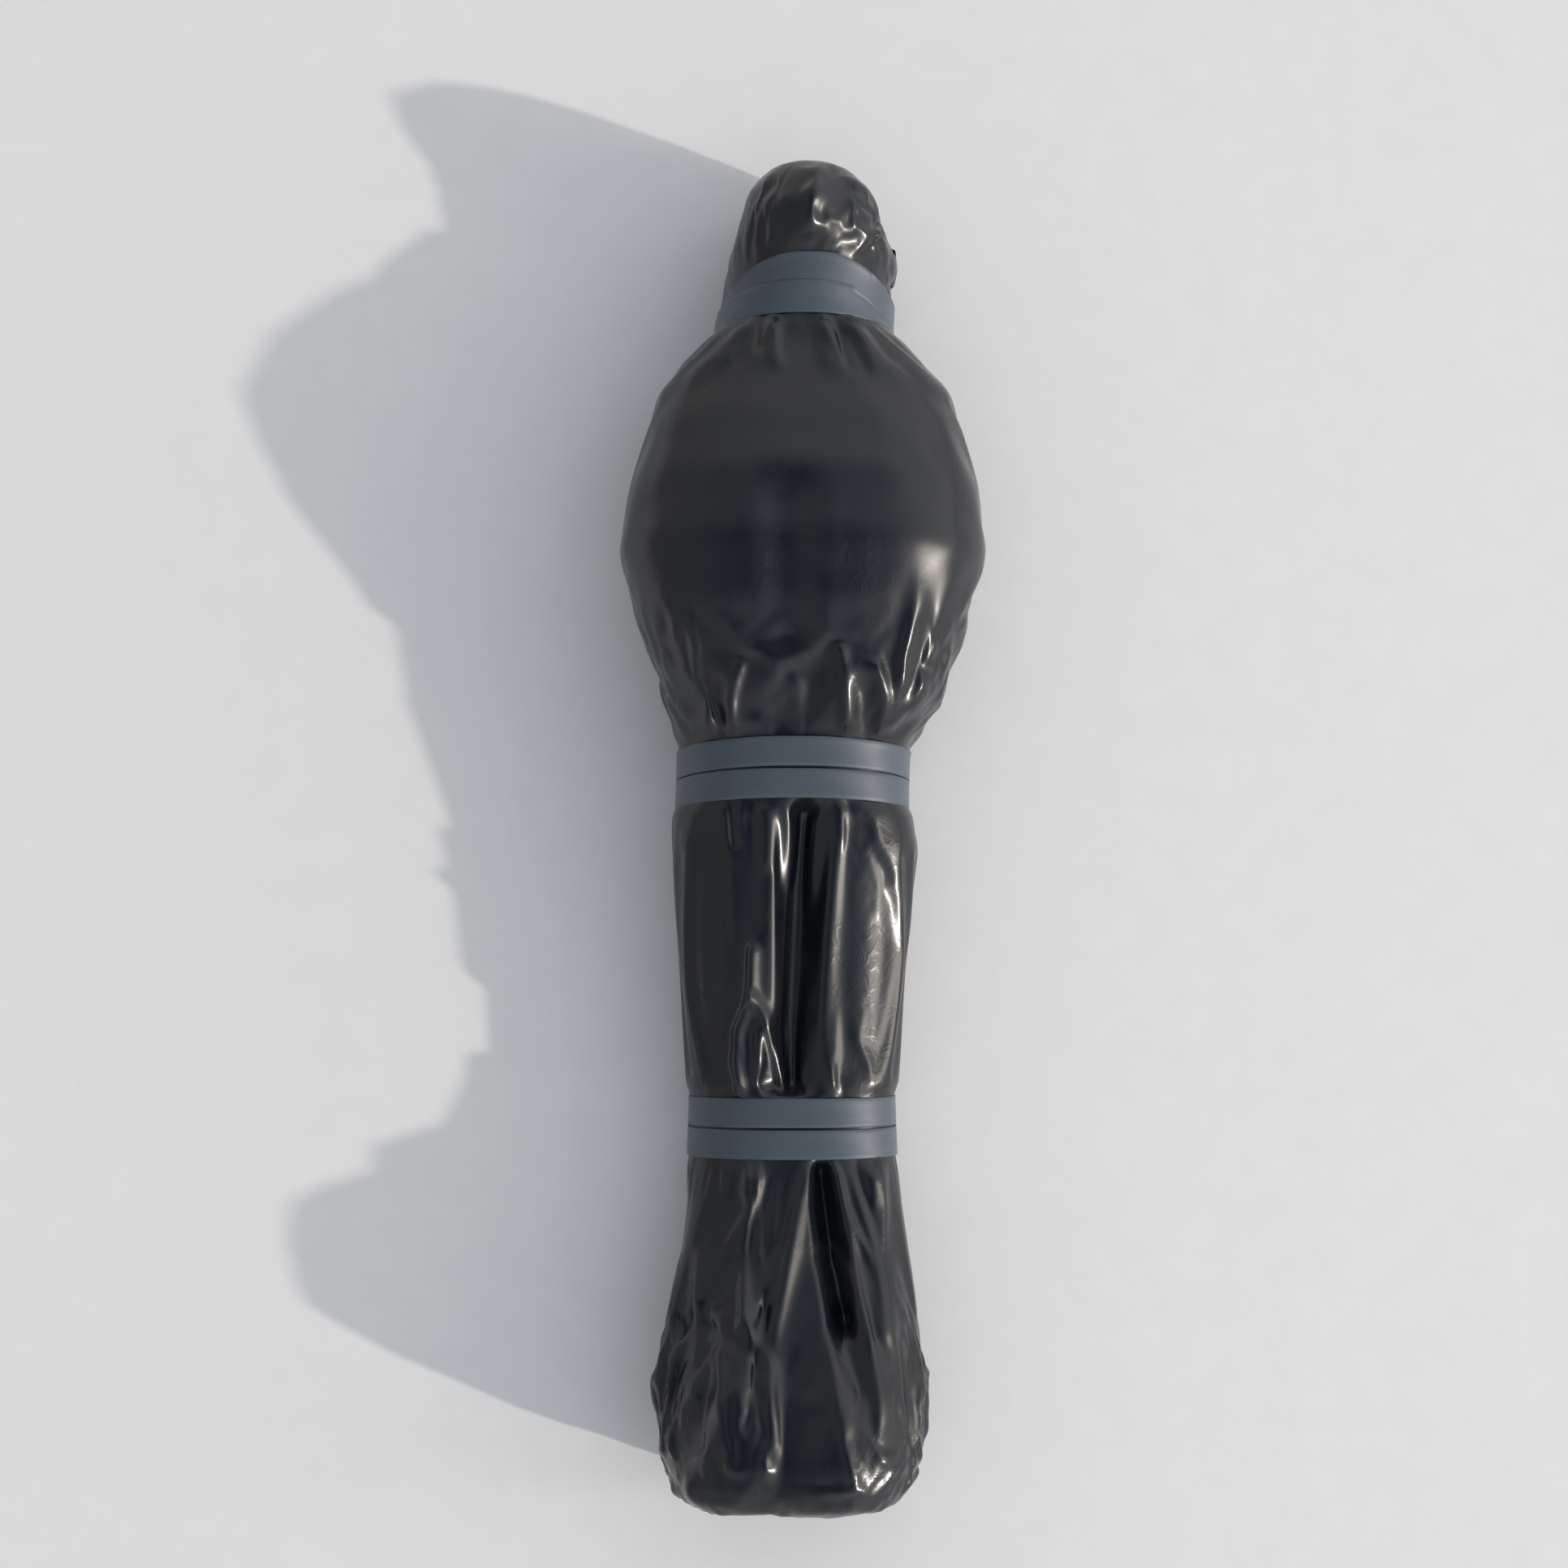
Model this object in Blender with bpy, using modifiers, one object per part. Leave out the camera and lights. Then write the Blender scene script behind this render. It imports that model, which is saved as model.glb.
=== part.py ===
"""Jointed grappling dummy on its back, wrapped in a loose vinyl sheet and bound with six straps.

Metres, +Z up. The head points along +Y and the feet along -Y. The dummy lies on Z = 0, and the
origin is under the middle of its length. Its own left side is at +X.
"""

import math

import bmesh
import bpy
from mathutils import Vector

# Lengths along the dummy, from the crown down to the soles.
HEAD_LENGTH = 0.150  # crown to the first neck strap
COLLAR_LENGTH = 0.090  # flexible sheet below the neck straps
TORSO_LENGTH = 0.472
GROIN_LENGTH = 0.165  # flexible sheet below the hip straps
THIGH_LENGTH = 0.220
SLEEVE_LENGTH = 0.122  # flexible sheet below the knee straps
FOOT_LENGTH = 0.331  # shin, ankle and foot, with the loose end of the sheet

# Widths and heights of the wrapped dummy.
HEAD_WIDTH = 0.212
NECK_WIDTH = 0.240
ELBOW_WIDTH = 0.484
HIP_WIDTH = 0.312
KNEE_WIDTH = 0.276
BAG_WIDTH = 0.362
FACE_HEIGHT = 0.247
NECK_HEIGHT = 0.200
ELBOW_HEIGHT = 0.290
HIP_HEIGHT = 0.201
KNEE_HEIGHT = 0.149
TOE_HEIGHT = 0.272
LEG_OFFSET = -0.014  # the legs lie a little off the trunk's middle
WIDEST_SHARE = 0.40  # share of the height at which a section is widest
SQUARENESS = 2.5  # superellipse power: 2 is an ellipse
BOTTOM_FLATNESS = 1.12  # over 1 flattens the back where it lies

# The sheet and the straps.
WRAP_WALL = 0.0020
SEAM_GAP = 0.0004
STRAP_WIDTH = 0.038
STRAP_THICKNESS = 0.0016
STRAP_FIT = 0.0004  # between a strap and the sheet
STRAP_GAP = 0.0015  # between the two straps of a pair
STRAP_SEAT = STRAP_THICKNESS + 2 * STRAP_FIT  # the sheet is lifted this much over a strap
FLEX_LIFT = 0.0020  # the flexible stretches stay this far above the floor
RING_POINTS = 24

# The jointed tube frame.
FRAME_HEIGHT = 0.080  # all hinge axes and tubes are at this height
TUBE_RADIUS = 0.011
TUBE_WALL = 0.002
BORE_FIT = 0.0006  # between a tube and the foam around it
FACE_GAP = 0.0003
LEG_SPACING = 0.134
NECK_AXIS_BELOW_STRAP = 0.044
HIP_AXIS_BELOW_STRAP = 0.080
KNEE_AXIS_BELOW_STRAP = 0.038
FORK_REACH = 0.026  # hinge axis to the fork's flat end
TONGUE_REACH = 0.034  # hinge axis to the tongue's flat end
FORK_WIDTH = 0.030
FORK_SLOT = 0.0126
TONGUE_WIDTH = 0.0116
EYE_RADIUS = 0.012
PIN_RADIUS = 0.0050
PIN_FIT = 0.0006
PIN_HEAD_RADIUS = 0.0085
PIN_HEAD_THICKNESS = 0.003
POST_REACH = 0.2  # share of the head's length that the neck post reaches into it

# The foam body.
FOAM_CLEARANCE = 0.003  # foam to the inside of the sheet
CORE_GAP = 0.006  # between neighbouring foam pieces
FOAM_INSET = WRAP_WALL + FOAM_CLEARANCE
HEAD_MIDDLE = 0.006  # the head lies a little to its left
SKULL_HALF_WIDTH = 0.073
JAW_HALF_WIDTH = 0.052
NOSE_HALF_SIZE = (0.013, 0.022, 0.030)
NECK_CORE_RADIUS = 0.058
UPPER_ARM_RADIUS = 0.037
FOREARM_RADIUS = 0.032
WRIST_RADIUS = 0.026
SHOULDER_HEIGHT = 0.100
ELBOW_JOINT_HEIGHT = 0.108
FOREARM_HEIGHT = 0.118  # of the forearm's end at the elbow
WRIST_OFFSET = 0.078  # wrist to the dummy's middle
HAND_OFFSET = 0.037
HAND_HALF_SIZE = (0.033, 0.044, 0.015)
THIGH_RADIUS = 0.062
KNEE_RADIUS = 0.050
CALF_RADIUS = 0.048
ANKLE_RADIUS = 0.034
HEEL_RADIUS = 0.038
TOE_RADIUS = 0.027
TOE_TURN = 0.026  # how far the toes lean outwards

# Levels along Y.
STRAP_PAIR = 2 * STRAP_WIDTH + STRAP_GAP
TOTAL_LENGTH = (HEAD_LENGTH + COLLAR_LENGTH + TORSO_LENGTH + GROIN_LENGTH + THIGH_LENGTH
                + SLEEVE_LENGTH + FOOT_LENGTH + 3 * STRAP_PAIR)
CROWN = TOTAL_LENGTH / 2
NECK_TOP = CROWN - HEAD_LENGTH
NECK_BOTTOM = NECK_TOP - STRAP_PAIR
COLLAR_BOTTOM = NECK_BOTTOM - COLLAR_LENGTH
HIP_TOP = COLLAR_BOTTOM - TORSO_LENGTH
HIP_BOTTOM = HIP_TOP - STRAP_PAIR
GROIN_BOTTOM = HIP_BOTTOM - GROIN_LENGTH
KNEE_TOP = GROIN_BOTTOM - THIGH_LENGTH
KNEE_BOTTOM = KNEE_TOP - STRAP_PAIR
SLEEVE_BOTTOM = KNEE_BOTTOM - SLEEVE_LENGTH
SOLE = SLEEVE_BOTTOM - FOOT_LENGTH

NECK_AXIS = NECK_BOTTOM - NECK_AXIS_BELOW_STRAP
HIP_AXIS = HIP_BOTTOM - HIP_AXIS_BELOW_STRAP
KNEE_AXIS = KNEE_BOTTOM - KNEE_AXIS_BELOW_STRAP

# Sections of the wrapped dummy: level, middle in X, width, underside and top. The shares follow
# its outline as it lies.
SECTIONS = (
    (CROWN, 0.008, 0.22 * HEAD_WIDTH, 0.20 * FACE_HEIGHT, 0.60 * FACE_HEIGHT),
    (CROWN - 0.10 * HEAD_LENGTH, 0.008, 0.48 * HEAD_WIDTH, 0.06 * FACE_HEIGHT, 0.78 * FACE_HEIGHT),
    (CROWN - 0.33 * HEAD_LENGTH, 0.008, 0.78 * HEAD_WIDTH, 0.0, 0.925 * FACE_HEIGHT),
    (CROWN - 0.60 * HEAD_LENGTH, 0.009, 0.96 * HEAD_WIDTH, 0.0, FACE_HEIGHT),
    (CROWN - 0.83 * HEAD_LENGTH, 0.013, 1.12 * HEAD_WIDTH, 0.0, 0.94 * FACE_HEIGHT),
    (NECK_TOP, 0.008, 0.98 * NECK_WIDTH, STRAP_SEAT, 1.03 * NECK_HEIGHT),
    (NECK_BOTTOM, 0.001, 1.02 * NECK_WIDTH, STRAP_SEAT, 0.98 * NECK_HEIGHT),
    (NECK_BOTTOM - 0.5 * COLLAR_LENGTH, 0.001, 0.68 * ELBOW_WIDTH, FLEX_LIFT, 0.71 * ELBOW_HEIGHT),
    (COLLAR_BOTTOM, 0.003, 0.81 * ELBOW_WIDTH, 0.0, 0.77 * ELBOW_HEIGHT),
    (COLLAR_BOTTOM - 0.10 * TORSO_LENGTH, 0.003, 0.865 * ELBOW_WIDTH, 0.0, 0.85 * ELBOW_HEIGHT),
    (COLLAR_BOTTOM - 0.27 * TORSO_LENGTH, 0.002, 0.945 * ELBOW_WIDTH, 0.0, 0.95 * ELBOW_HEIGHT),
    (COLLAR_BOTTOM - 0.47 * TORSO_LENGTH, 0.0, ELBOW_WIDTH, 0.0, ELBOW_HEIGHT),
    (COLLAR_BOTTOM - 0.63 * TORSO_LENGTH, -0.003, 0.92 * ELBOW_WIDTH, 0.0, 0.95 * ELBOW_HEIGHT),
    (COLLAR_BOTTOM - 0.87 * TORSO_LENGTH, 0.003, 0.78 * ELBOW_WIDTH, 0.0, 0.81 * ELBOW_HEIGHT),
    (HIP_TOP, LEG_OFFSET + 0.002, HIP_WIDTH, STRAP_SEAT, 1.02 * HIP_HEIGHT),
    (HIP_BOTTOM, LEG_OFFSET, HIP_WIDTH, STRAP_SEAT, 0.985 * HIP_HEIGHT),
    (HIP_BOTTOM - 0.37 * GROIN_LENGTH, LEG_OFFSET + 0.003, 1.04 * HIP_WIDTH, FLEX_LIFT, 0.93 * HIP_HEIGHT),
    (GROIN_BOTTOM, LEG_OFFSET + 0.001, 0.97 * HIP_WIDTH, 0.0, 0.86 * HIP_HEIGHT),
    (GROIN_BOTTOM - 0.5 * THIGH_LENGTH, LEG_OFFSET, 1.04 * KNEE_WIDTH, 0.0, 1.07 * KNEE_HEIGHT),
    (KNEE_TOP, LEG_OFFSET, 0.99 * KNEE_WIDTH, STRAP_SEAT, 1.01 * KNEE_HEIGHT),
    (KNEE_BOTTOM, LEG_OFFSET, 1.01 * KNEE_WIDTH, STRAP_SEAT, 0.99 * KNEE_HEIGHT),
    (KNEE_BOTTOM - 0.5 * SLEEVE_LENGTH, LEG_OFFSET + 0.004, 0.98 * KNEE_WIDTH, FLEX_LIFT, KNEE_HEIGHT),
    (SLEEVE_BOTTOM, LEG_OFFSET + 0.005, 1.04 * KNEE_WIDTH, 0.0, 1.06 * KNEE_HEIGHT),
    (SLEEVE_BOTTOM - 0.18 * FOOT_LENGTH, LEG_OFFSET, 0.91 * BAG_WIDTH, 0.0, 0.70 * TOE_HEIGHT),
    (SLEEVE_BOTTOM - 0.48 * FOOT_LENGTH, LEG_OFFSET, BAG_WIDTH, 0.0, 0.91 * TOE_HEIGHT),
    (SLEEVE_BOTTOM - 0.72 * FOOT_LENGTH, LEG_OFFSET, 0.97 * BAG_WIDTH, 0.0, TOE_HEIGHT),
    (SLEEVE_BOTTOM - 0.88 * FOOT_LENGTH, LEG_OFFSET, 0.88 * BAG_WIDTH, 0.0, 0.97 * TOE_HEIGHT),
    (SLEEVE_BOTTOM - 0.97 * FOOT_LENGTH, LEG_OFFSET, 0.74 * BAG_WIDTH, 0.03 * TOE_HEIGHT,
     0.84 * TOE_HEIGHT),
    (SOLE, LEG_OFFSET, 0.56 * BAG_WIDTH, 0.15 * TOE_HEIGHT, 0.60 * TOE_HEIGHT),
)


# ---------------------------------------------------------------- scene and materials

def clear_scene():
    for thing in list(bpy.data.objects):
        bpy.data.objects.remove(thing, do_unlink=True)


def new_collection(name):
    collection = bpy.data.collections.new(name)
    bpy.context.scene.collection.children.link(collection)
    return collection


def new_material(name, colour, roughness, metallic=0.0):
    material = bpy.data.materials.new(name)
    material.use_nodes = True
    shader = material.node_tree.nodes["Principled BSDF"]
    shader.inputs["Base Color"].default_value = (*colour, 1.0)
    shader.inputs["Roughness"].default_value = roughness
    shader.inputs["Metallic"].default_value = metallic
    return material


clear_scene()
DUMMY = new_collection("grappling_dummy")
CUTTERS = new_collection("cutters")
VINYL = new_material("black_vinyl", (0.016, 0.018, 0.021), 0.28)
STRAP = new_material("grey_strap", (0.075, 0.098, 0.125), 0.50)
FOAM = new_material("foam", (0.55, 0.52, 0.45), 0.90)
STEEL = new_material("steel", (0.45, 0.46, 0.48), 0.35, 1.0)


def add_object(name, mesh, material, collection=DUMMY):
    thing = bpy.data.objects.new(name, mesh)
    mesh.materials.append(material)
    collection.objects.link(thing)
    return thing


def finish_mesh(name, shape, smooth=True):
    """A mesh from a bmesh, with its faces turned outwards."""
    bmesh.ops.recalc_face_normals(shape, faces=shape.faces)
    mesh = bpy.data.meshes.new(name)
    shape.to_mesh(mesh)
    shape.free()
    if smooth:
        mesh.shade_smooth()
        mesh.set_sharp_from_angle(angle=math.radians(40))
    return mesh


# ---------------------------------------------------------------- sections and lofts

def section_at(level):
    """Middle, width, underside and top of the wrapped dummy at a level along Y."""
    for upper, lower in zip(SECTIONS, SECTIONS[1:]):
        if level >= lower[0]:
            share = (upper[0] - level) / (upper[0] - lower[0])
            return [a + share * (b - a) for a, b in zip(upper[1:], lower[1:])]
    return list(SECTIONS[-1][1:])


def rounded(value, power):
    return math.copysign(abs(value) ** (2 / power), value)


def ring(level, inset=0.0, width_share=1.0, height_share=1.0):
    """One closed section: a superellipse with a flat underside, drawn in by the inset."""
    middle, width, low, high = section_at(level)
    half = width_share * width / 2 - inset
    top = low + height_share * (high - low) - inset
    bottom = low + inset
    widest = bottom + WIDEST_SHARE * (top - bottom)
    points = []
    for index in range(RING_POINTS):
        angle = 2 * math.pi * (index + 0.5) / RING_POINTS
        across = rounded(math.cos(angle), SQUARENESS)
        upright = rounded(math.sin(angle), SQUARENESS)
        if upright < 0:
            height = widest + (widest - bottom) * max(-1.0, BOTTOM_FLATNESS * upright)
        else:
            height = widest + (top - widest) * upright
        points.append(Vector((middle + half * across, level, height)))
    return points


def circle(level, radius, middle=0.0, height=FRAME_HEIGHT):
    """A round ring with the same point order as ring()."""
    angles = [2 * math.pi * (index + 0.5) / RING_POINTS for index in range(RING_POINTS)]
    return [Vector((middle + radius * math.cos(a), level, height + radius * math.sin(a)))
            for a in angles]


def loft(name, rings, material, joined_ends=False):
    """Skins rings in order. The ends are capped, or joined to each other as a tube's wall is."""
    shape = bmesh.new()
    loops = [[shape.verts.new(point) for point in points] for points in rings]
    pairs = list(zip(loops, loops[1:]))
    if joined_ends:
        pairs.append((loops[-1], loops[0]))
    else:
        shape.faces.new(loops[0])
        shape.faces.new(loops[-1])
    count = len(loops[0])
    for first, second in pairs:
        for index in range(count):
            after = (index + 1) % count
            shape.faces.new((first[index], first[after], second[after], second[index]))
    return add_object(name, finish_mesh(name, shape), material)


def levels_between(top, bottom):
    """The levels of the sections from top down to bottom, both ends included."""
    inner = [section[0] for section in SECTIONS if bottom < section[0] < top]
    return [top] + inner + [bottom]


def wrap_tube(name, top, bottom):
    """A stretch of the sheet that is open at both ends."""
    levels = levels_between(top, bottom)
    inner = [ring(level, WRAP_WALL) for level in levels]
    outer = [ring(level) for level in reversed(levels)]
    return loft(name, inner + outer, VINYL, joined_ends=True)


def wrap_bag(name, rim, end):
    """A stretch of the sheet that is closed at its far end."""
    levels = levels_between(max(rim, end), min(rim, end))
    if end > rim:
        levels.reverse()
    inset = math.copysign(WRAP_WALL, rim - end)
    inner = [ring(level, WRAP_WALL) for level in levels[:-1]]
    inner_end = [point + Vector((0, inset, 0)) for point in ring(end, WRAP_WALL)]
    outer = [ring(level) for level in levels]
    rings = [inner_end] + list(reversed(inner)) + outer
    return loft(name, rings, VINYL)


def strap(name, top):
    """A flat strap round the sheet, from its top edge down by its width."""
    levels = [top, top - STRAP_WIDTH]
    inner = [ring(level, -STRAP_FIT) for level in levels]
    outer = [ring(level, -STRAP_FIT - STRAP_THICKNESS) for level in reversed(levels)]
    return loft(name, inner + outer, STRAP, joined_ends=True)


# ---------------------------------------------------------------- turned pieces

def turned(name, profile, start, direction, material, steps=14, closed=True):
    """A profile of (radius, distance from the start) turned round the line that runs from start.

    The profile runs down its outer side from the far end, as the Screw modifier wants it.
    """
    shape = bmesh.new()
    corners = [shape.verts.new((radius, 0, along)) for radius, along in profile]
    for first, second in zip(corners, corners[1:]):
        shape.edges.new((first, second))
    if closed:
        shape.edges.new((corners[-1], corners[0]))
    mesh = bpy.data.meshes.new(name)
    shape.to_mesh(mesh)
    shape.free()
    thing = add_object(name, mesh, material)
    screw = thing.modifiers.new("turn", "SCREW")
    screw.axis = "Z"
    screw.angle = 2 * math.pi
    screw.steps = steps
    screw.render_steps = steps
    screw.use_merge_vertices = True
    screw.merge_threshold = 0.00001
    screw.use_smooth_shade = True
    thing.location = start
    thing.rotation_euler = Vector(direction).to_track_quat("Z", "Y").to_euler()
    return thing


def tube(name, start, length, direction):
    inner = TUBE_RADIUS - TUBE_WALL
    profile = [(TUBE_RADIUS, length), (TUBE_RADIUS, 0), (inner, 0), (inner, length)]
    return turned(name, profile, start, direction, STEEL, steps=12)


def capsule_profile(far_radius, near_radius, length, bore=0.0):
    """A tapered limb with round ends; the length runs from tip to tip."""
    arc_points = 3
    far_ring = [(far_radius * math.sin(a), length - far_radius + far_radius * math.cos(a))
                for a in (math.pi / 2 * i / arc_points for i in range(arc_points + 1))]
    near_ring = [(near_radius * math.cos(a), near_radius - near_radius * math.sin(a))
                 for a in (math.pi / 2 * i / arc_points for i in range(arc_points + 1))]
    if not bore:
        return far_ring + near_ring
    outside = [point for point in far_ring + near_ring if point[0] > bore]
    return [(bore, length)] + outside + [(bore, 0)]


def limb(name, start, end, start_radius, end_radius, bore=0.0, steps=14):
    """A foam limb from tip to tip, with a bore for its tube if one runs through it."""
    run = Vector(end) - Vector(start)
    profile = capsule_profile(end_radius, start_radius, run.length, bore)
    return turned(name, profile, start, run.normalized(), FOAM, steps, closed=bool(bore))


# ---------------------------------------------------------------- hinges

def add_cylinder(name, radius, length, middle, collection):
    """A cylinder along X."""
    shape = bmesh.new()
    bmesh.ops.create_cone(shape, cap_ends=True, segments=16, radius1=radius, radius2=radius, depth=length)
    thing = add_object(name, finish_mesh(name, shape), STEEL, collection)
    thing.location = middle
    thing.rotation_euler = (0, math.pi / 2, 0)
    return thing


def add_box(name, size, middle, collection):
    shape = bmesh.new()
    bmesh.ops.create_cube(shape, size=1.0)
    bmesh.ops.scale(shape, vec=size, verts=shape.verts)
    thing = add_object(name, finish_mesh(name, shape, smooth=False), STEEL, collection)
    thing.location = middle
    return thing


def cut(thing, cutter):
    cutter.hide_render = True
    cutter.display_type = "WIRE"
    boolean = thing.modifiers.new(cutter.name, "BOOLEAN")
    boolean.operation = "DIFFERENCE"
    boolean.solver = "EXACT"
    boolean.object = cutter


def eye_plate(name, width, pivot, side, reach):
    """A plate with a round eye on the pivot and a flat end, towards side along Y."""
    shape = bmesh.new()
    arc_points = 8
    angles = [math.pi / 2 + math.pi * i / arc_points for i in range(arc_points + 1)]
    outline = [(side * EYE_RADIUS * math.cos(a), EYE_RADIUS * math.sin(a)) for a in angles]
    outline += [(side * reach, -EYE_RADIUS), (side * reach, EYE_RADIUS)]
    face = shape.faces.new([shape.verts.new((-width / 2, y, z)) for y, z in outline])
    sweep = bmesh.ops.extrude_face_region(shape, geom=[face])
    moved = [part for part in sweep["geom"] if isinstance(part, bmesh.types.BMVert)]
    bmesh.ops.translate(shape, vec=(width, 0, 0), verts=moved)
    thing = add_object(name, finish_mesh(name, shape), STEEL)
    thing.location = pivot
    return thing


def hinge(joint, suffix, pivot, fork_side):
    """A fork, a tongue and a pin along X. The fork points towards fork_side along Y."""
    bore = add_cylinder(f"{joint}_bore{suffix}", PIN_RADIUS + PIN_FIT, 2 * FORK_WIDTH, pivot, CUTTERS)
    slot_length = 2 * (EYE_RADIUS + PIN_FIT)
    slot_middle = pivot + Vector((0, -fork_side * EYE_RADIUS, 0))
    slot_size = (FORK_SLOT, slot_length + 2 * EYE_RADIUS, 4 * EYE_RADIUS)
    slot = add_box(f"{joint}_slot{suffix}", slot_size, slot_middle, CUTTERS)
    fork = eye_plate(f"{joint}_fork{suffix}", FORK_WIDTH, pivot, fork_side, FORK_REACH)
    cut(fork, slot)
    cut(fork, bore)
    tongue = eye_plate(f"{joint}_tongue{suffix}", TONGUE_WIDTH, pivot, -fork_side, TONGUE_REACH)
    cut(tongue, bore)
    half = FORK_WIDTH / 2 + FACE_GAP
    end = half + PIN_HEAD_THICKNESS
    far_head = [(0, 2 * end), (PIN_HEAD_RADIUS, 2 * end), (PIN_HEAD_RADIUS, end + half)]
    shank = [(PIN_RADIUS, end + half), (PIN_RADIUS, end - half)]
    near_head = [(PIN_HEAD_RADIUS, end - half), (PIN_HEAD_RADIUS, 0), (0, 0)]
    turned(f"{joint}_pin{suffix}", far_head + shank + near_head, pivot - Vector((end, 0, 0)),
           (1, 0, 0), STEEL, 12, closed=False)


# ---------------------------------------------------------------- the sheet and its straps

def make_wraps():
    wrap_bag("hood_wrap", NECK_BOTTOM, CROWN)
    wrap_tube("collar_wrap", NECK_BOTTOM - SEAM_GAP, COLLAR_BOTTOM + SEAM_GAP)
    wrap_tube("torso_wrap", COLLAR_BOTTOM, HIP_BOTTOM)
    wrap_tube("hip_wrap", HIP_BOTTOM - SEAM_GAP, GROIN_BOTTOM + SEAM_GAP)
    wrap_tube("thigh_wrap", GROIN_BOTTOM, KNEE_BOTTOM)
    wrap_tube("knee_wrap", KNEE_BOTTOM - SEAM_GAP, SLEEVE_BOTTOM + SEAM_GAP)
    wrap_bag("foot_wrap", SLEEVE_BOTTOM, SOLE)


def make_straps():
    for place, top in (("neck", NECK_TOP), ("hip", HIP_TOP), ("knee", KNEE_TOP)):
        strap(f"{place}_strap_upper", top)
        strap(f"{place}_strap_lower", top - STRAP_WIDTH - STRAP_GAP)


# ---------------------------------------------------------------- the foam body

def make_head():
    """Skull, jaw and nose joined in one foam piece, with a socket for the neck post."""
    nose_level = CROWN - 0.59 * HEAD_LENGTH
    skull_level = CROWN - 0.57 * HEAD_LENGTH
    jaw_level = NECK_TOP + 0.14 * HEAD_LENGTH
    skull_size = Vector((SKULL_HALF_WIDTH, 0.52 * HEAD_LENGTH, 0.395 * FACE_HEIGHT))
    jaw_size = Vector((JAW_HALF_WIDTH, 0.27 * HEAD_LENGTH, 0.28 * FACE_HEIGHT))
    nose_size = Vector(NOSE_HALF_SIZE)
    nose_tip = 0.945 * FACE_HEIGHT
    pieces = (
        ("skull", skull_size, Vector((HEAD_MIDDLE, skull_level, FOAM_INSET + skull_size.z))),
        ("jaw", jaw_size, Vector((HEAD_MIDDLE, jaw_level, 0.51 * FACE_HEIGHT))),
        ("nose", nose_size, Vector((HEAD_MIDDLE, nose_level, nose_tip - nose_size.z))),
    )
    solids = []
    for name, size, centre in pieces:
        shape = bmesh.new()
        bmesh.ops.create_uvsphere(shape, u_segments=14, v_segments=9, radius=1.0)
        bmesh.ops.scale(shape, vec=size, verts=shape.verts)
        bmesh.ops.translate(shape, vec=centre, verts=shape.verts)
        solids.append(finish_mesh(name, shape))
    head = add_object("head_core", solids[0], FOAM)
    for name, mesh in (("jaw", solids[1]), ("nose", solids[2])):
        other = add_object(name, mesh, FOAM, CUTTERS)
        cut(head, other)
        head.modifiers[-1].operation = "UNION"
    depth = 2 * (post_end() + FACE_GAP - NECK_AXIS)
    socket_middle = Vector((0, NECK_AXIS, FRAME_HEIGHT))
    shape = bmesh.new()
    bmesh.ops.create_cone(shape, cap_ends=True, segments=16, radius1=TUBE_RADIUS + BORE_FIT,
                          radius2=TUBE_RADIUS + BORE_FIT, depth=depth)
    socket = add_object("neck_socket", finish_mesh("neck_socket", shape), STEEL, CUTTERS)
    socket.location = socket_middle
    socket.rotation_euler = (math.pi / 2, 0, 0)
    cut(head, socket)


def post_end():
    """The neck post stops this far up, inside the head."""
    return NECK_TOP + POST_REACH * HEAD_LENGTH


def make_neck():
    bore = TUBE_RADIUS + BORE_FIT
    bottom = NECK_AXIS + TONGUE_REACH + FACE_GAP
    top = NECK_TOP - 0.13 * HEAD_LENGTH - CORE_GAP
    corners = ((bottom, NECK_CORE_RADIUS), (top, NECK_CORE_RADIUS), (top, bore), (bottom, bore))
    loft("neck_core", [circle(*corner) for corner in corners], FOAM, joined_ends=True)
    tube("neck_post", (0, bottom, FRAME_HEIGHT), post_end() - bottom, (0, 1, 0))


def trunk_core(name, stations):
    """A bored trunk piece through rings of (level, inset, share of width, share of height)."""
    bore = TUBE_RADIUS + BORE_FIT
    outer = [ring(*station) for station in stations]
    holes = [circle(stations[-1][0], bore), circle(stations[0][0], bore)]
    return loft(name, outer + holes, FOAM, joined_ends=True)


def between_arms(level):
    """The share of the dummy's width that the arms leave to the chest."""
    width = section_at(level)[1]
    return 1 - 4 * (UPPER_ARM_RADIUS + CORE_GAP) / width


def make_trunk():
    inset = FOAM_INSET
    top = COLLAR_BOTTOM + 0.10 * COLLAR_LENGTH
    split = COLLAR_BOTTOM - 0.55 * TORSO_LENGTH
    bottom = HIP_BOTTOM + 0.006
    chest = (
        (top, 3 * inset, 0.78),
        (COLLAR_BOTTOM - 0.02 * TORSO_LENGTH, 2 * inset, 0.86),
        (COLLAR_BOTTOM - 0.14 * TORSO_LENGTH, inset, 0.93),
        (COLLAR_BOTTOM - 0.35 * TORSO_LENGTH, inset, 0.90),
        (split + CORE_GAP / 2 + 0.02, inset, 0.84),
        (split + CORE_GAP / 2, 2 * inset, 0.80),
    )
    trunk_core("chest_core", [(level, inward, between_arms(level), height)
                              for level, inward, height in chest])
    trunk_core("belly_core", (
        (split - CORE_GAP / 2, 2 * inset, 0.53, 0.66),
        (split - CORE_GAP / 2 - 0.02, inset, 0.56, 0.66),
        (COLLAR_BOTTOM - 0.72 * TORSO_LENGTH, inset, 0.68, 0.74),
        (HIP_TOP + 0.06, inset, 0.80, 0.86),
        (HIP_TOP - 0.02, inset, 0.96, 0.96),
        (bottom + 0.025, inset, 0.90, 0.92),
        (bottom, 3 * inset, 0.78, 0.76),
    ))


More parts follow.
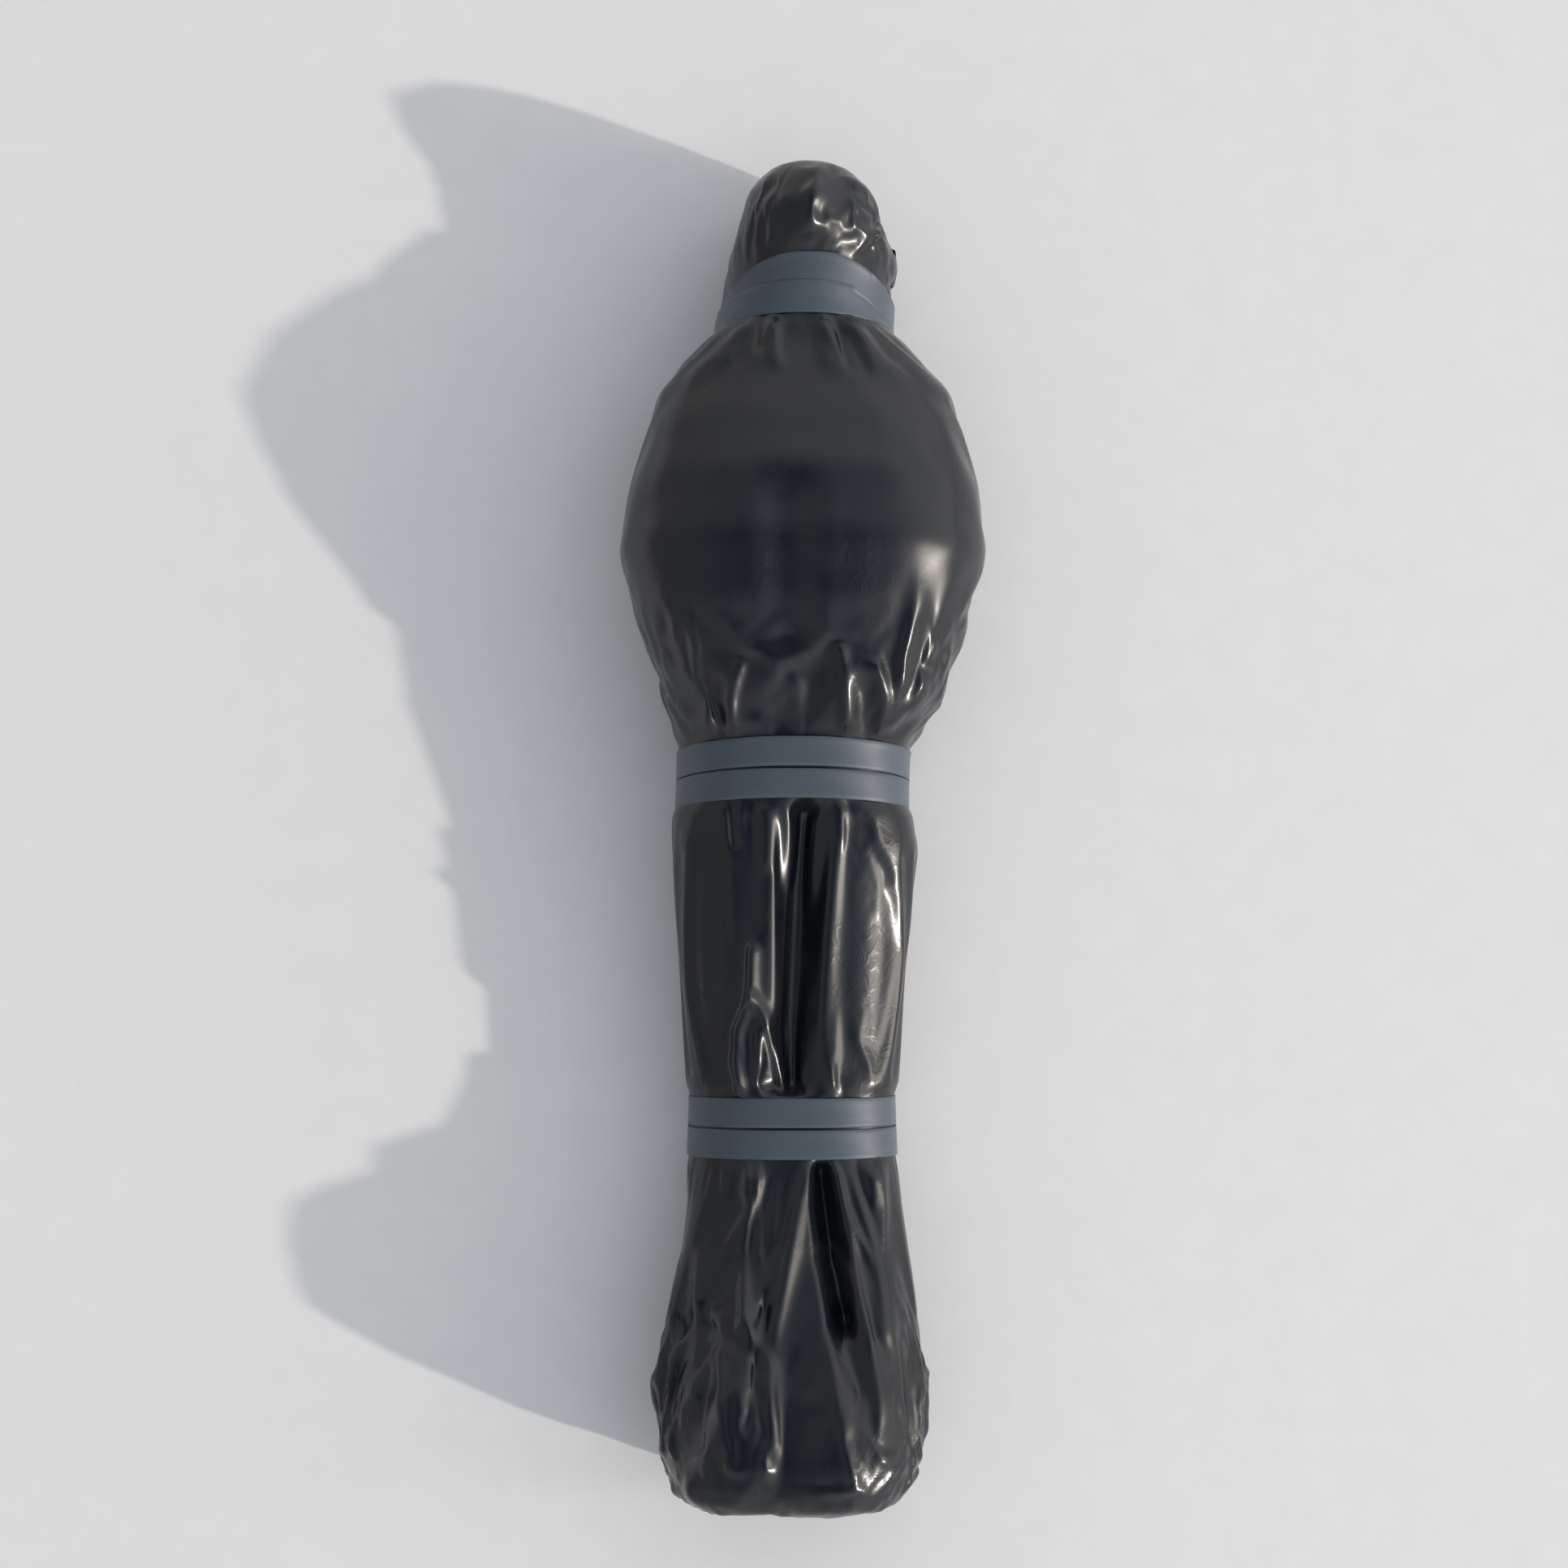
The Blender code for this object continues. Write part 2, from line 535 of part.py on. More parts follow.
def make_arms():
    """Arms folded over the belly, lying in the sheet beside the trunk."""
    shoulder_level = COLLAR_BOTTOM - 0.004
    elbow_level = COLLAR_BOTTOM - 0.52 * TORSO_LENGTH
    hand_level = COLLAR_BOTTOM - 0.66 * TORSO_LENGTH
    for side, name in ((1, "left"), (-1, "right")):
        shoulder_x = inner_edge(shoulder_level, side) - UPPER_ARM_RADIUS
        elbow_x = inner_edge(elbow_level, side) - UPPER_ARM_RADIUS + 0.004
        shoulder = (side * shoulder_x, shoulder_level, SHOULDER_HEIGHT)
        elbow = (side * elbow_x, elbow_level, ELBOW_JOINT_HEIGHT)
        limb(f"upper_arm_core_{name}", shoulder, elbow, UPPER_ARM_RADIUS, UPPER_ARM_RADIUS - 0.003)
        forearm_start = (side * elbow_x, elbow_level - 0.024, FOREARM_HEIGHT)
        wrist = (side * WRIST_OFFSET, hand_level + 0.004, 0.78 * ELBOW_HEIGHT)
        limb(f"forearm_core_{name}", forearm_start, wrist, FOREARM_RADIUS, WRIST_RADIUS)
        make_hand(f"hand_core_{name}", side, hand_level)


def inner_edge(level, side):
    """How far out from X = 0 the foam may reach on one side."""
    middle, width = section_at(level)[:2]
    return side * middle + width / 2 - FOAM_INSET


def make_hand(name, side, level):
    """A mitt lying flat on the belly."""
    shape = bmesh.new()
    bmesh.ops.create_uvsphere(shape, u_segments=12, v_segments=7, radius=1.0)
    bmesh.ops.scale(shape, vec=HAND_HALF_SIZE, verts=shape.verts)
    thing = add_object(name, finish_mesh(name, shape), FOAM)
    thing.location = (side * HAND_OFFSET, level, 0.80 * ELBOW_HEIGHT)


def make_legs():
    bore = TUBE_RADIUS + BORE_FIT
    for side, name in ((1, "left"), (-1, "right")):
        x = LEG_OFFSET + side * LEG_SPACING / 2
        hip = Vector((x, HIP_AXIS, FRAME_HEIGHT))
        knee = Vector((x, KNEE_AXIS, FRAME_HEIGHT))
        down = Vector((0, -1, 0))
        hinge("hip", f"_{name}", hip, 1)
        hinge("knee", f"_{name}", knee, 1)
        thigh_top = hip + down * (TONGUE_REACH + FACE_GAP)
        thigh_end = knee - down * (FORK_REACH + FACE_GAP)
        tube(f"thigh_tube_{name}", thigh_top, (thigh_end - thigh_top).length, down)
        limb(f"thigh_core_{name}", thigh_top, thigh_end, THIGH_RADIUS, KNEE_RADIUS, bore)
        shin_top = knee + down * (TONGUE_REACH + FACE_GAP)
        ankle = Vector((x, SLEEVE_BOTTOM - 0.62 * FOOT_LENGTH, FRAME_HEIGHT))
        tube(f"shin_tube_{name}", shin_top, (ankle - shin_top).length, down)
        limb(f"shin_core_{name}", shin_top, ankle, CALF_RADIUS, ANKLE_RADIUS, bore)
        make_foot(f"foot_core_{name}", x, side)


def make_foot(name, x, side):
    """A foot standing on its heel, with the toes up and turned a little outwards."""
    level = SOLE + 0.22 * FOOT_LENGTH
    heel = (x, level, FOAM_INSET)
    toes = (x + side * TOE_TURN, level + 0.006, 0.86 * TOE_HEIGHT)
    limb(name, heel, toes, HEEL_RADIUS, TOE_RADIUS)


# ---------------------------------------------------------------- the tube frame of the trunk

def make_trunk_frame():
    neck = Vector((0, NECK_AXIS, FRAME_HEIGHT))
    hinge("neck", "", neck, -1)
    crossbar_level = HIP_AXIS + FORK_REACH + FACE_GAP + TUBE_RADIUS
    half = LEG_SPACING / 2 + FORK_WIDTH / 2
    tube("hip_crossbar", (LEG_OFFSET - half, crossbar_level, FRAME_HEIGHT), 2 * half, (1, 0, 0))
    spine_end = crossbar_level + TUBE_RADIUS + FACE_GAP
    spine_top = NECK_AXIS - FORK_REACH - FACE_GAP
    tube("spine_tube", (0, spine_end, FRAME_HEIGHT), spine_top - spine_end, (0, 1, 0))


make_wraps()
make_straps()
make_head()
make_neck()
make_trunk()
make_arms()
make_legs()
make_trunk_frame()
bpy.context.view_layer.update()
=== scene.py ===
"""Looks of the jointed grappling dummy: its loose glossy sheet, its straps and every material.

Metres, +Z up. The head points along +Y and the feet along -Y; the dummy lies on Z = 0.
"""

import math

import bmesh
import bpy
import numpy as np
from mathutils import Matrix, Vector, noise
from mathutils.bvhtree import BVHTree


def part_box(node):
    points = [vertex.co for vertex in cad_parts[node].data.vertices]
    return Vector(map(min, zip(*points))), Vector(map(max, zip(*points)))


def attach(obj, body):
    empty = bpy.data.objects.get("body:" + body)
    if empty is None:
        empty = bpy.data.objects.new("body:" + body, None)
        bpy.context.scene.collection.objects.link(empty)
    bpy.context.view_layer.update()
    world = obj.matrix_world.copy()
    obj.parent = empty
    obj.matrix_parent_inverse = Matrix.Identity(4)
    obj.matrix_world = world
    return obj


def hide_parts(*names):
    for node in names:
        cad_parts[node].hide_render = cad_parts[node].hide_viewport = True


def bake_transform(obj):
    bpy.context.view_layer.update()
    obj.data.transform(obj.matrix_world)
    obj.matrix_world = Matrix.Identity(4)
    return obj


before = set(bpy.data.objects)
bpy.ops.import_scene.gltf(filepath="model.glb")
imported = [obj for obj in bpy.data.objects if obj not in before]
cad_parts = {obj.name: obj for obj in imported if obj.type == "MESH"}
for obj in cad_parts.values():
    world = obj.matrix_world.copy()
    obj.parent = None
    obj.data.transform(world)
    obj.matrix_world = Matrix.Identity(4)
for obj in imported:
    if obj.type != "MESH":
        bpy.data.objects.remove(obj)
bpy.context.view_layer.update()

PALE_FLOOR = (0.80, 0.80, 0.80)
PALER_FLOOR = (0.82, 0.82, 0.82)

# Levels along Y, read from the straps of the frame.
NECK_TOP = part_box("neck_strap_upper")[1].y
NECK_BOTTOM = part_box("neck_strap_lower")[0].y
HIP_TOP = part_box("hip_strap_upper")[1].y
HIP_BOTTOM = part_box("hip_strap_lower")[0].y
KNEE_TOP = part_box("knee_strap_upper")[1].y
KNEE_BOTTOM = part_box("knee_strap_lower")[0].y
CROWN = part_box("hood_wrap")[1].y
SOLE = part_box("foot_wrap")[0].y
LEG_MIDDLE = -0.014

# The sheet's grid.
CAP_SIDE = 38
RING_COUNT = 4 * CAP_SIDE
ROW_STEP = 0.009
CAP_LENGTH = 0.010
STRAP_MARGIN = 0.006  # rows this far inside a strap pair's edges are held
SIM_FRAMES = 32
SQUARENESS = 2.5
WIDEST_SHARE = 0.40
BOTTOM_FLATNESS = 1.12
FLOOR_GAP = 0.0006  # the sheet stays this far above the floor
NECK_MIDDLE = (NECK_TOP + NECK_BOTTOM) / 2
HIP_MIDDLE = (HIP_TOP + HIP_BOTTOM) / 2
KNEE_MIDDLE = (KNEE_TOP + KNEE_BOTTOM) / 2
STRAP_PAIRS = ((NECK_BOTTOM, NECK_TOP), (HIP_BOTTOM, HIP_TOP), (KNEE_BOTTOM, KNEE_TOP))

# The straps.
STRAP_THICKNESS = 0.0016
STRAP_FIT = 0.0004
NECK_SLIP = 0.036  # how far down the upper neck strap's sides lie, under the lower one
STRAP_STEPS = 260
STRAP_OVERLAP = 0.085  # share of the way round where the strap's end lies over its start
STRAP_END = 0.80  # where on the way round, from the underside by the left, the strap ends


# ---------------------------------------------------------------- sections of the wrapped dummy

def cad_sections():
    """Rows of (level, middle, width, underside, top), read from the rings of the CAD wraps."""
    found = {}
    for name in ("hood_wrap", "collar_wrap", "torso_wrap", "hip_wrap", "thigh_wrap", "knee_wrap",
                 "foot_wrap"):
        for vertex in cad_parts[name].data.vertices:
            found.setdefault(round(vertex.co.y, 3), []).append(vertex.co)
    rows = []
    for level in sorted(found):
        xs = [point.x for point in found[level]]
        zs = [point.z for point in found[level]]
        row = (level, (min(xs) + max(xs)) / 2, max(xs) - min(xs), min(zs), max(zs))
        if rows and level - rows[-1][0] < 0.004:
            if row[2] > rows[-1][2]:
                rows[-1] = row
        else:
            rows.append(row)
    return np.array(rows)


SECTIONS = cad_sections()
DENSE = np.arange(SOLE - 0.1, CROWN + 0.1, 0.001)


def smoothed(column, width=0.006):
    """One column of the sections at every dense level, rounded over by a Gaussian."""
    values = np.interp(DENSE, SECTIONS[:, 0], SECTIONS[:, column])
    reach = np.arange(-0.045, 0.0451, 0.001)
    weights = np.exp(-0.5 * (reach / width) ** 2)
    padded = np.pad(values, len(reach) // 2, mode="edge")
    return np.convolve(padded, weights / weights.sum(), mode="valid")


MIDDLES, WIDTHS, LOWS, TOPS = (smoothed(column) for column in (1, 2, 3, 4))


def section_at(level):
    return [float(np.interp(level, DENSE, values)) for values in (MIDDLES, WIDTHS, LOWS, TOPS)]


def bump(value, centre, width):
    return math.exp(-0.5 * ((value - centre) / width) ** 2)


def ramp(value, start, end):
    """0 before start and 1 after end, with a smooth turn between them."""
    t = min(1.0, max(0.0, (value - start) / (end - start)))
    return t * t * (3 - 2 * t)


# Folds of the sheet, as (height, half-width, points of the fold's line seen from above).
BROAD_FOLDS = (
    (-0.012, 0.020, ((-0.021, 0.400), (-0.021, 0.235))),                     # between the forearms
    (-0.012, 0.034, ((0.004, 0.030), (-0.006, -0.150), (-0.018, -0.370))),   # between the thighs
    (-0.036, 0.020, ((0.004, 0.030), (-0.006, -0.150), (-0.018, -0.370))),
    (0.008, 0.024, ((-0.082, -0.450), (-0.082, -0.620))),                    # shins
    (0.018, 0.017, ((0.098, -0.450), (0.104, -0.640))),
    (-0.010, 0.024, ((0.020, 0.180), (-0.020, 0.110))),
    (-0.036, 0.009, ((0.020, -0.430), (0.038, -0.560), (0.052, -0.640))),
    (-0.016, 0.012, ((0.056, -0.640), (0.072, -0.720))),
    (-0.018, 0.030, ((-0.020, -0.700), (-0.020, -0.880))),                   # between the feet
    (-0.020, 0.014, ((-0.118, -0.640), (-0.126, -0.740), (-0.112, -0.800))),
    (-0.034, 0.016, ((-0.156, -0.640), (-0.160, -0.720), (-0.148, -0.790))),
    (-0.022, 0.016, ((0.134, -0.660), (0.138, -0.740), (0.134, -0.780))),
    (-0.010, 0.015, ((-0.030, 0.836), (-0.036, 0.828))),                     # eye hollows
    (-0.008, 0.015, ((0.036, 0.836), (0.042, 0.828))),
    (-0.012, 0.024, ((-0.060, 0.790), (-0.070, 0.745))),
    (-0.014, 0.022, ((0.060, 0.790), (0.078, 0.745))),
    (-0.018, 0.010, ((0.094, 0.800), (0.100, 0.730))),                       # pocket by the ear
)
FINE_FOLDS = (
    (0.010, 0.012, ((0.006, 0.850), (0.006, 0.800), (0.002, 0.741))),        # brow to neck
    (0.006, 0.010, ((-0.034, 0.800), (-0.050, 0.741))),
    (0.005, 0.010, ((0.042, 0.790), (0.062, 0.741))),
    (0.007, 0.006, ((-0.040, 0.838), (-0.058, 0.800), (-0.074, 0.748))),     # hood, left side
    (0.006, 0.005, ((-0.060, 0.840), (-0.078, 0.795), (-0.088, 0.748))),
    (0.004, 0.008, ((0.056, 0.836), (0.070, 0.795), (0.086, 0.748))),        # hood, right side
    (0.012, 0.008, ((0.086, 0.800), (0.112, 0.770), (0.110, 0.740))),
    (-0.008, 0.004, ((-0.054, 0.664), (-0.058, 0.610))),                     # gathers at the neck
    (0.006, 0.006, ((-0.042, 0.664), (-0.036, 0.590))),
    (-0.007, 0.005, ((0.040, 0.664), (0.058, 0.585))),
    (0.006, 0.006, ((0.026, 0.664), (0.030, 0.590))),
    (0.007, 0.007, ((0.062, 0.664), (0.092, 0.590))),
    (-0.006, 0.005, ((0.078, 0.664), (0.115, 0.600))),
    (0.007, 0.008, ((-0.074, 0.664), (-0.104, 0.600))),
    (-0.006, 0.006, ((-0.088, 0.664), (-0.128, 0.610))),
    (0.011, 0.006, ((-0.084, 0.185), (-0.096, 0.145), (-0.094, 0.103))),     # above the hips
    (-0.008, 0.006, ((-0.108, 0.170), (-0.106, 0.103))),
    (0.013, 0.006, ((0.046, 0.205), (0.056, 0.150), (0.060, 0.103))),
    (-0.012, 0.010, ((0.078, 0.160), (0.080, 0.103))),
    (0.012, 0.006, ((0.092, 0.185), (0.106, 0.140), (0.098, 0.103))),
    (0.006, 0.008, ((-0.010, 0.165), (-0.006, 0.103))),
    (0.010, 0.006, ((0.150, 0.290), (0.132, 0.200), (0.118, 0.115))),
    (0.012, 0.008, ((0.196, 0.300), (0.180, 0.220), (0.150, 0.140))),
    (0.008, 0.007, ((-0.190, 0.280), (-0.160, 0.190), (-0.130, 0.110))),
    (0.008, 0.006, ((-0.150, 0.250), (-0.136, 0.170), (-0.120, 0.110))),
    (-0.008, 0.004, ((-0.094, 0.024), (-0.090, -0.035))),                    # below the hips
    (0.006, 0.006, ((-0.052, 0.024), (-0.050, -0.060))),
    (0.005, 0.005, ((0.052, 0.024), (0.050, -0.030))),
    (0.013, 0.0055, ((-0.066, -0.170), (-0.068, -0.232), (-0.088, -0.275), (-0.089, -0.320),
                     (-0.078, -0.360))),                                     # forked fold
    (0.012, 0.0055, ((-0.067, -0.232), (-0.048, -0.255), (-0.036, -0.290), (-0.026, -0.340))),
    (0.006, 0.005, ((-0.060, -0.270), (-0.055, -0.330))),
    (-0.012, 0.012, ((-0.052, -0.338), (-0.048, -0.360))),
    (0.007, 0.005, ((0.034, -0.320), (0.040, -0.360))),
    (0.010, 0.0045, ((-0.074, -0.439), (-0.071, -0.465), (-0.076, -0.475), (-0.071, -0.488),
                    (-0.073, -0.530), (-0.076, -0.545), (-0.072, -0.630))),  # jagged shin crease
    (0.009, 0.0045, ((-0.058, -0.439), (-0.060, -0.500), (-0.058, -0.560))),
    (0.009, 0.006, ((0.008, -0.439), (0.020, -0.530), (0.046, -0.700), (0.072, -0.850))),
    (0.009, 0.006, ((0.036, -0.439), (0.072, -0.610), (0.098, -0.710), (0.106, -0.790))),
    (-0.014, 0.008, ((-0.046, -0.620), (-0.050, -0.680), (-0.066, -0.750))),
    (0.012, 0.007, ((-0.062, -0.640), (-0.034, -0.690), (-0.040, -0.800))),
    (0.008, 0.006, ((-0.108, -0.640), (-0.100, -0.720), (-0.090, -0.800))),
    (0.010, 0.007, ((-0.140, -0.610), (-0.142, -0.700), (-0.128, -0.790))),
    (-0.010, 0.008, ((-0.110, -0.650), (-0.080, -0.660))),
)


# Creases pressed into the sheet after it has settled.
CREASES = (
    (-0.013, 0.016, ((0.004, 0.000), (-0.006, -0.150), (-0.018, -0.345))),   # between the thighs
    (0.0072, 0.0038, ((-0.074, -0.439), (-0.070, -0.462), (-0.077, -0.474), (-0.070, -0.488),
                      (-0.075, -0.512), (-0.071, -0.545), (-0.075, -0.560), (-0.071, -0.630))),
    (0.0030, 0.0034, ((-0.058, -0.439), (-0.060, -0.500), (-0.056, -0.570))),
    (-0.0030, 0.0030, ((-0.092, -0.439), (-0.094, -0.520), (-0.098, -0.600))),
    (0.0054, 0.0042, ((0.008, -0.439), (0.020, -0.530), (0.046, -0.700), (0.072, -0.850))),
    (-0.0040, 0.0036, ((0.030, -0.450), (0.050, -0.580), (0.080, -0.720))),
    (0.0050, 0.0040, ((0.064, -0.439), (0.084, -0.560), (0.108, -0.690), (0.116, -0.790))),
    (0.0054, 0.0036, ((-0.064, -0.660), (-0.072, -0.740), (-0.060, -0.830))),
    (-0.0050, 0.0034, ((-0.100, -0.650), (-0.106, -0.740), (-0.090, -0.820))),
    (0.0050, 0.0036, ((-0.120, -0.650), (-0.126, -0.730), (-0.112, -0.810))),
    (-0.0050, 0.0034, ((-0.054, -0.620), (-0.062, -0.680), (-0.084, -0.720))),
    (0.0036, 0.0030, ((-0.096, -0.760), (-0.088, -0.860))),
    (0.0036, 0.0030, ((-0.136, -0.740), (-0.128, -0.840))),
    (-0.0036, 0.0030, ((0.132, -0.700), (0.130, -0.800))),
    (0.0050, 0.0042, ((-0.066, -0.180), (-0.068, -0.232), (-0.088, -0.275), (-0.089, -0.320),
                      (-0.078, -0.360))),
    (0.0050, 0.0042, ((-0.067, -0.232), (-0.048, -0.255), (-0.036, -0.290), (-0.026, -0.340))),
    (0.0016, 0.0036, ((0.036, 0.020), (0.020, -0.120), (0.012, -0.345))),
    (0.0024, 0.0036, ((0.092, -0.220), (0.084, -0.345))),
    (0.0026, 0.0034, ((-0.090, 0.020), (-0.088, -0.060), (-0.094, -0.150))),
    (0.0040, 0.0038, ((0.046, 0.205), (0.056, 0.150), (0.060, 0.103))),
    (0.0040, 0.0038, ((-0.084, 0.185), (-0.096, 0.145), (-0.094, 0.103))),
    (-0.0030, 0.0030, ((-0.120, 0.190), (-0.118, 0.103))),
    (0.0040, 0.0034, ((0.110, 0.210), (0.108, 0.103))),
    (0.0040, 0.0034, ((0.176, 0.260), (0.148, 0.180), (0.130, 0.103))),
    (0.0035, 0.0034, ((-0.176, 0.270), (-0.150, 0.190), (-0.126, 0.103))),
    (-0.0030, 0.0026, ((-0.054, 0.664), (-0.058, 0.600))),
    (0.0022, 0.0030, ((-0.040, 0.664), (-0.034, 0.590))),
    (0.0026, 0.0030, ((0.062, 0.664), (0.092, 0.590))),
    (0.0030, 0.0034, ((-0.040, 0.842), (-0.058, 0.800), (-0.074, 0.748))),
    (0.0020, 0.0034, ((0.060, 0.836), (0.074, 0.795), (0.092, 0.748))),
    (0.0040, 0.0036, ((0.090, 0.800), (0.116, 0.770), (0.112, 0.735))),
)


def relief(xs, ys, folds):
    """The height that the folds add at points seen from above."""
    total = np.zeros(len(xs))
    for height, width, line in folds:
        nearest = np.full(len(xs), 9.0)
        pairs = zip(line, line[1:]) if len(line) > 1 else ((line[0], line[0]),)
        for (ax, ay), (bx, by) in pairs:
            span = max((bx - ax) ** 2 + (by - ay) ** 2, 1e-12)
            share = np.clip(((xs - ax) * (bx - ax) + (ys - ay) * (by - ay)) / span, 0, 1)
            gap = np.hypot(xs - ax - share * (bx - ax), ys - ay - share * (by - ay))
            nearest = np.minimum(nearest, gap)
        total += height * np.exp(-0.5 * (nearest / width) ** 2)
    return total


def folded(points, tied=0.0, fine=True):
    """Section points with the folds on their upper side, less where a strap ties them."""
    low, top = points[:, 2].min(), points[:, 2].max()
    share = np.clip((points[:, 2] - low - 0.45 * (top - low)) / (0.35 * (top - low)), 0, 1)
    upper = share * share * (3 - 2 * share)
    height = relief(points[:, 0], points[:, 1], BROAD_FOLDS) * (1 - tied)
    if fine:
        height += relief(points[:, 0], points[:, 1], FINE_FOLDS) * (1 - tied)
    points[:, 2] = np.maximum(points[:, 2] + upper * height, low + 0.010)
    return points


def strap_tie(level, reach=0.018):
    """1 under a pair of straps, falling to 0 a little way outside them."""
    return max(ramp(level, low - reach, low + 0.002) * ramp(-level, -high - reach, 0.002 - high)
               for low, high in STRAP_PAIRS)


def crumpled(points, tied):
    """Points moved in and out along the creases of a crumpled film."""
    centre = np.array([points[:, 0].mean(), 0.0, points[:, 2].mean()])
    for index, (x, y, z) in enumerate(points):
        share = crumple(x, y) * (1 - tied)
        if share < 0.03:
            continue
        away = np.array([x - centre[0], 0.0, z - centre[2]])
        away /= max(1e-6, np.hypot(away[0], away[2]))
        place = Vector((x, 0.55 * y, z))
        facets = noise.noise(place * 24 + 1.2 * noise.noise_vector(place * 12),
                             noise_basis="VORONOI_F2F1")
        small = noise.noise(place * 62, noise_basis="VORONOI_F2F1")
        points[index] += away * share * (0.014 * (facets - 0.22) + 0.004 * (small - 0.22))
        points[index][2] = max(points[index][2], FLOOR_GAP)
    return points


def ring_points(level, outset, count=RING_COUNT):
    """Points evenly spaced round one section, from the middle of its underside."""
    middle, width, low, top = section_at(level)
    half = width / 2 + outset + 0.012 * ramp(level, 0.79, 0.86)
    top, bottom = top + outset, max(low - outset, 0.0004)
    rounding = bump(level, NECK_MIDDLE, 0.05)
    tied = max(rounding, bump(level, HIP_MIDDLE, 0.06), bump(level, KNEE_MIDDLE, 0.06))
    widest = bottom + (WIDEST_SHARE - 0.14 * tied) * (top - bottom)
    power = 2 / (SQUARENESS - 0.4 * rounding)
    turn = np.linspace(0, 2 * math.pi, 721) - math.pi / 2
    across = np.sign(np.cos(turn)) * np.abs(np.cos(turn)) ** power
    upright = np.sign(np.sin(turn)) * np.abs(np.sin(turn)) ** power
    xs = middle + half * across
    down = widest + (widest - bottom) * np.maximum(-1.0, BOTTOM_FLATNESS * upright)
    zs = np.where(upright < 0, down, widest + (top - widest) * upright)
    run = np.concatenate([[0], np.cumsum(np.hypot(np.diff(xs), np.diff(zs)))])
    stops = np.linspace(0, run[-1], count + 1)[:-1]
    return np.stack([np.interp(stops, run, xs), np.full(count, level), np.interp(stops, run, zs)], 1)


# ---------------------------------------------------------------- meshes

def new_object(name, mesh, material=None):
    thing = bpy.data.objects.new(name, mesh)
    bpy.context.scene.collection.objects.link(thing)
    if material:
        mesh.materials.append(material)
    return thing


def mesh_from(name, points, faces):
    mesh = bpy.data.meshes.new(name)
    mesh.from_pydata([tuple(map(float, point)) for point in points], [], faces)
    mesh.update()
    return mesh


def capsule(start, end, start_radius, end_radius, segments=24, arcs=6):
    """Points and faces of a tapered limb with round ends."""
    start, end = Vector(start), Vector(end)
    along = (end - start).normalized()
    side = along.orthogonal().normalized()
    other = along.cross(side)
    rows = []
    for index in range(1, arcs + 1):
        angle = math.pi / 2 * index / arcs
        rows.append((start - along * start_radius * math.cos(angle), start_radius * math.sin(angle)))
    for index in range(arcs):
        angle = math.pi / 2 * index / arcs
        rows.append((end + along * end_radius * math.sin(angle), end_radius * math.cos(angle)))
    points = [start - along * start_radius]
    for centre, radius in rows:
        for index in range(segments):
            turn = 2 * math.pi * index / segments
            points.append(centre + radius * (math.cos(turn) * side + math.sin(turn) * other))
    points.append(end + along * end_radius)
    faces = [(0, 1 + (i + 1) % segments, 1 + i) for i in range(segments)]
    for row in range(len(rows) - 1):
        low, high = 1 + row * segments, 1 + (row + 1) * segments
        for i in range(segments):
            after = (i + 1) % segments
            faces.append((low + i, low + after, high + after, high + i))
    last, low = len(points) - 1, 1 + (len(rows) - 1) * segments
    faces += [(low + i, low + (i + 1) % segments, last) for i in range(segments)]
    return points, faces


def ellipsoid(centre, size, segments=32, rows=20):
    shape = bmesh.new()
    bmesh.ops.create_uvsphere(shape, u_segments=segments, v_segments=rows, radius=1.0)
    bmesh.ops.scale(shape, vec=size, verts=shape.verts)
    bmesh.ops.translate(shape, vec=centre, verts=shape.verts)
    points = [vertex.co.copy() for vertex in shape.verts]
    faces = [[vertex.index for vertex in face.verts] for face in shape.faces]
    shape.free()
    return points, faces


def section_body(top, bottom, inset, step=0.012):
    """The trunk inside the sheet: sections drawn in by the inset."""
    levels = np.arange(bottom, top, step)
    rings = [folded(ring_points(level, -inset(level), 72), strap_tie(level), False) for level in levels]
    points = [point for ring in rings for point in ring]
    faces = [tuple(reversed(range(72)))]
    for row in range(len(rings) - 1):
        for i in range(72):
            after = (i + 1) % 72
            faces.append((row * 72 + i, row * 72 + after, (row + 1) * 72 + after, (row + 1) * 72 + i))
    faces.append(tuple(range((len(rings) - 1) * 72, len(rings) * 72)))
    return points, faces


FOAM_UNDER_SHEET = [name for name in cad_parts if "_core" in name]


def form_inset(level):
    """How far inside the sheet the dummy's form lies: little where the sheet is taut."""
    return 0.006 + 0.005 * ramp(level, 0.70, 0.76) + 0.007 * ramp(-level, 0.56, 0.66) \
        + 0.004 * bump(level, 0.20, 0.07)


def make_body():
    """The dummy's own form, which the sheet falls on. It is removed once the sheet has settled."""
    parts = [
        ellipsoid((0.106, 0.764, 0.072), (0.020, 0.026, 0.045)),       # fills the pocket by the ear
        section_body(0.872, SOLE + 0.030, form_inset),
    ]
    for name in FOAM_UNDER_SHEET:
        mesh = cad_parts[name].data
        parts.append(([vertex.co.copy() for vertex in mesh.vertices],
                      [list(face.vertices) for face in mesh.polygons]))
    points, faces = [], []
    for more_points, more_faces in parts:
        faces += [[index + len(points) for index in face] for face in more_faces]
        points += list(more_points)
    body = new_object("body_form", mesh_from("body_form", points, faces))
    body.modifiers.new("collision", "COLLISION")
    body.collision.thickness_outer = 0.002
    body.collision.cloth_friction = 6.0
    body.collision.use_culling = False
    return body


def make_ground():
    points = [(-1, -1.5, 0), (1, -1.5, 0), (1, 1.5, 0), (-1, 1.5, 0)]
    ground = new_object("ground_form", mesh_from("ground_form", points, [(0, 1, 2, 3)]))
    ground.modifiers.new("collision", "COLLISION")
    ground.collision.thickness_outer = 0.001
    ground.collision.cloth_friction = 12.0
    return ground


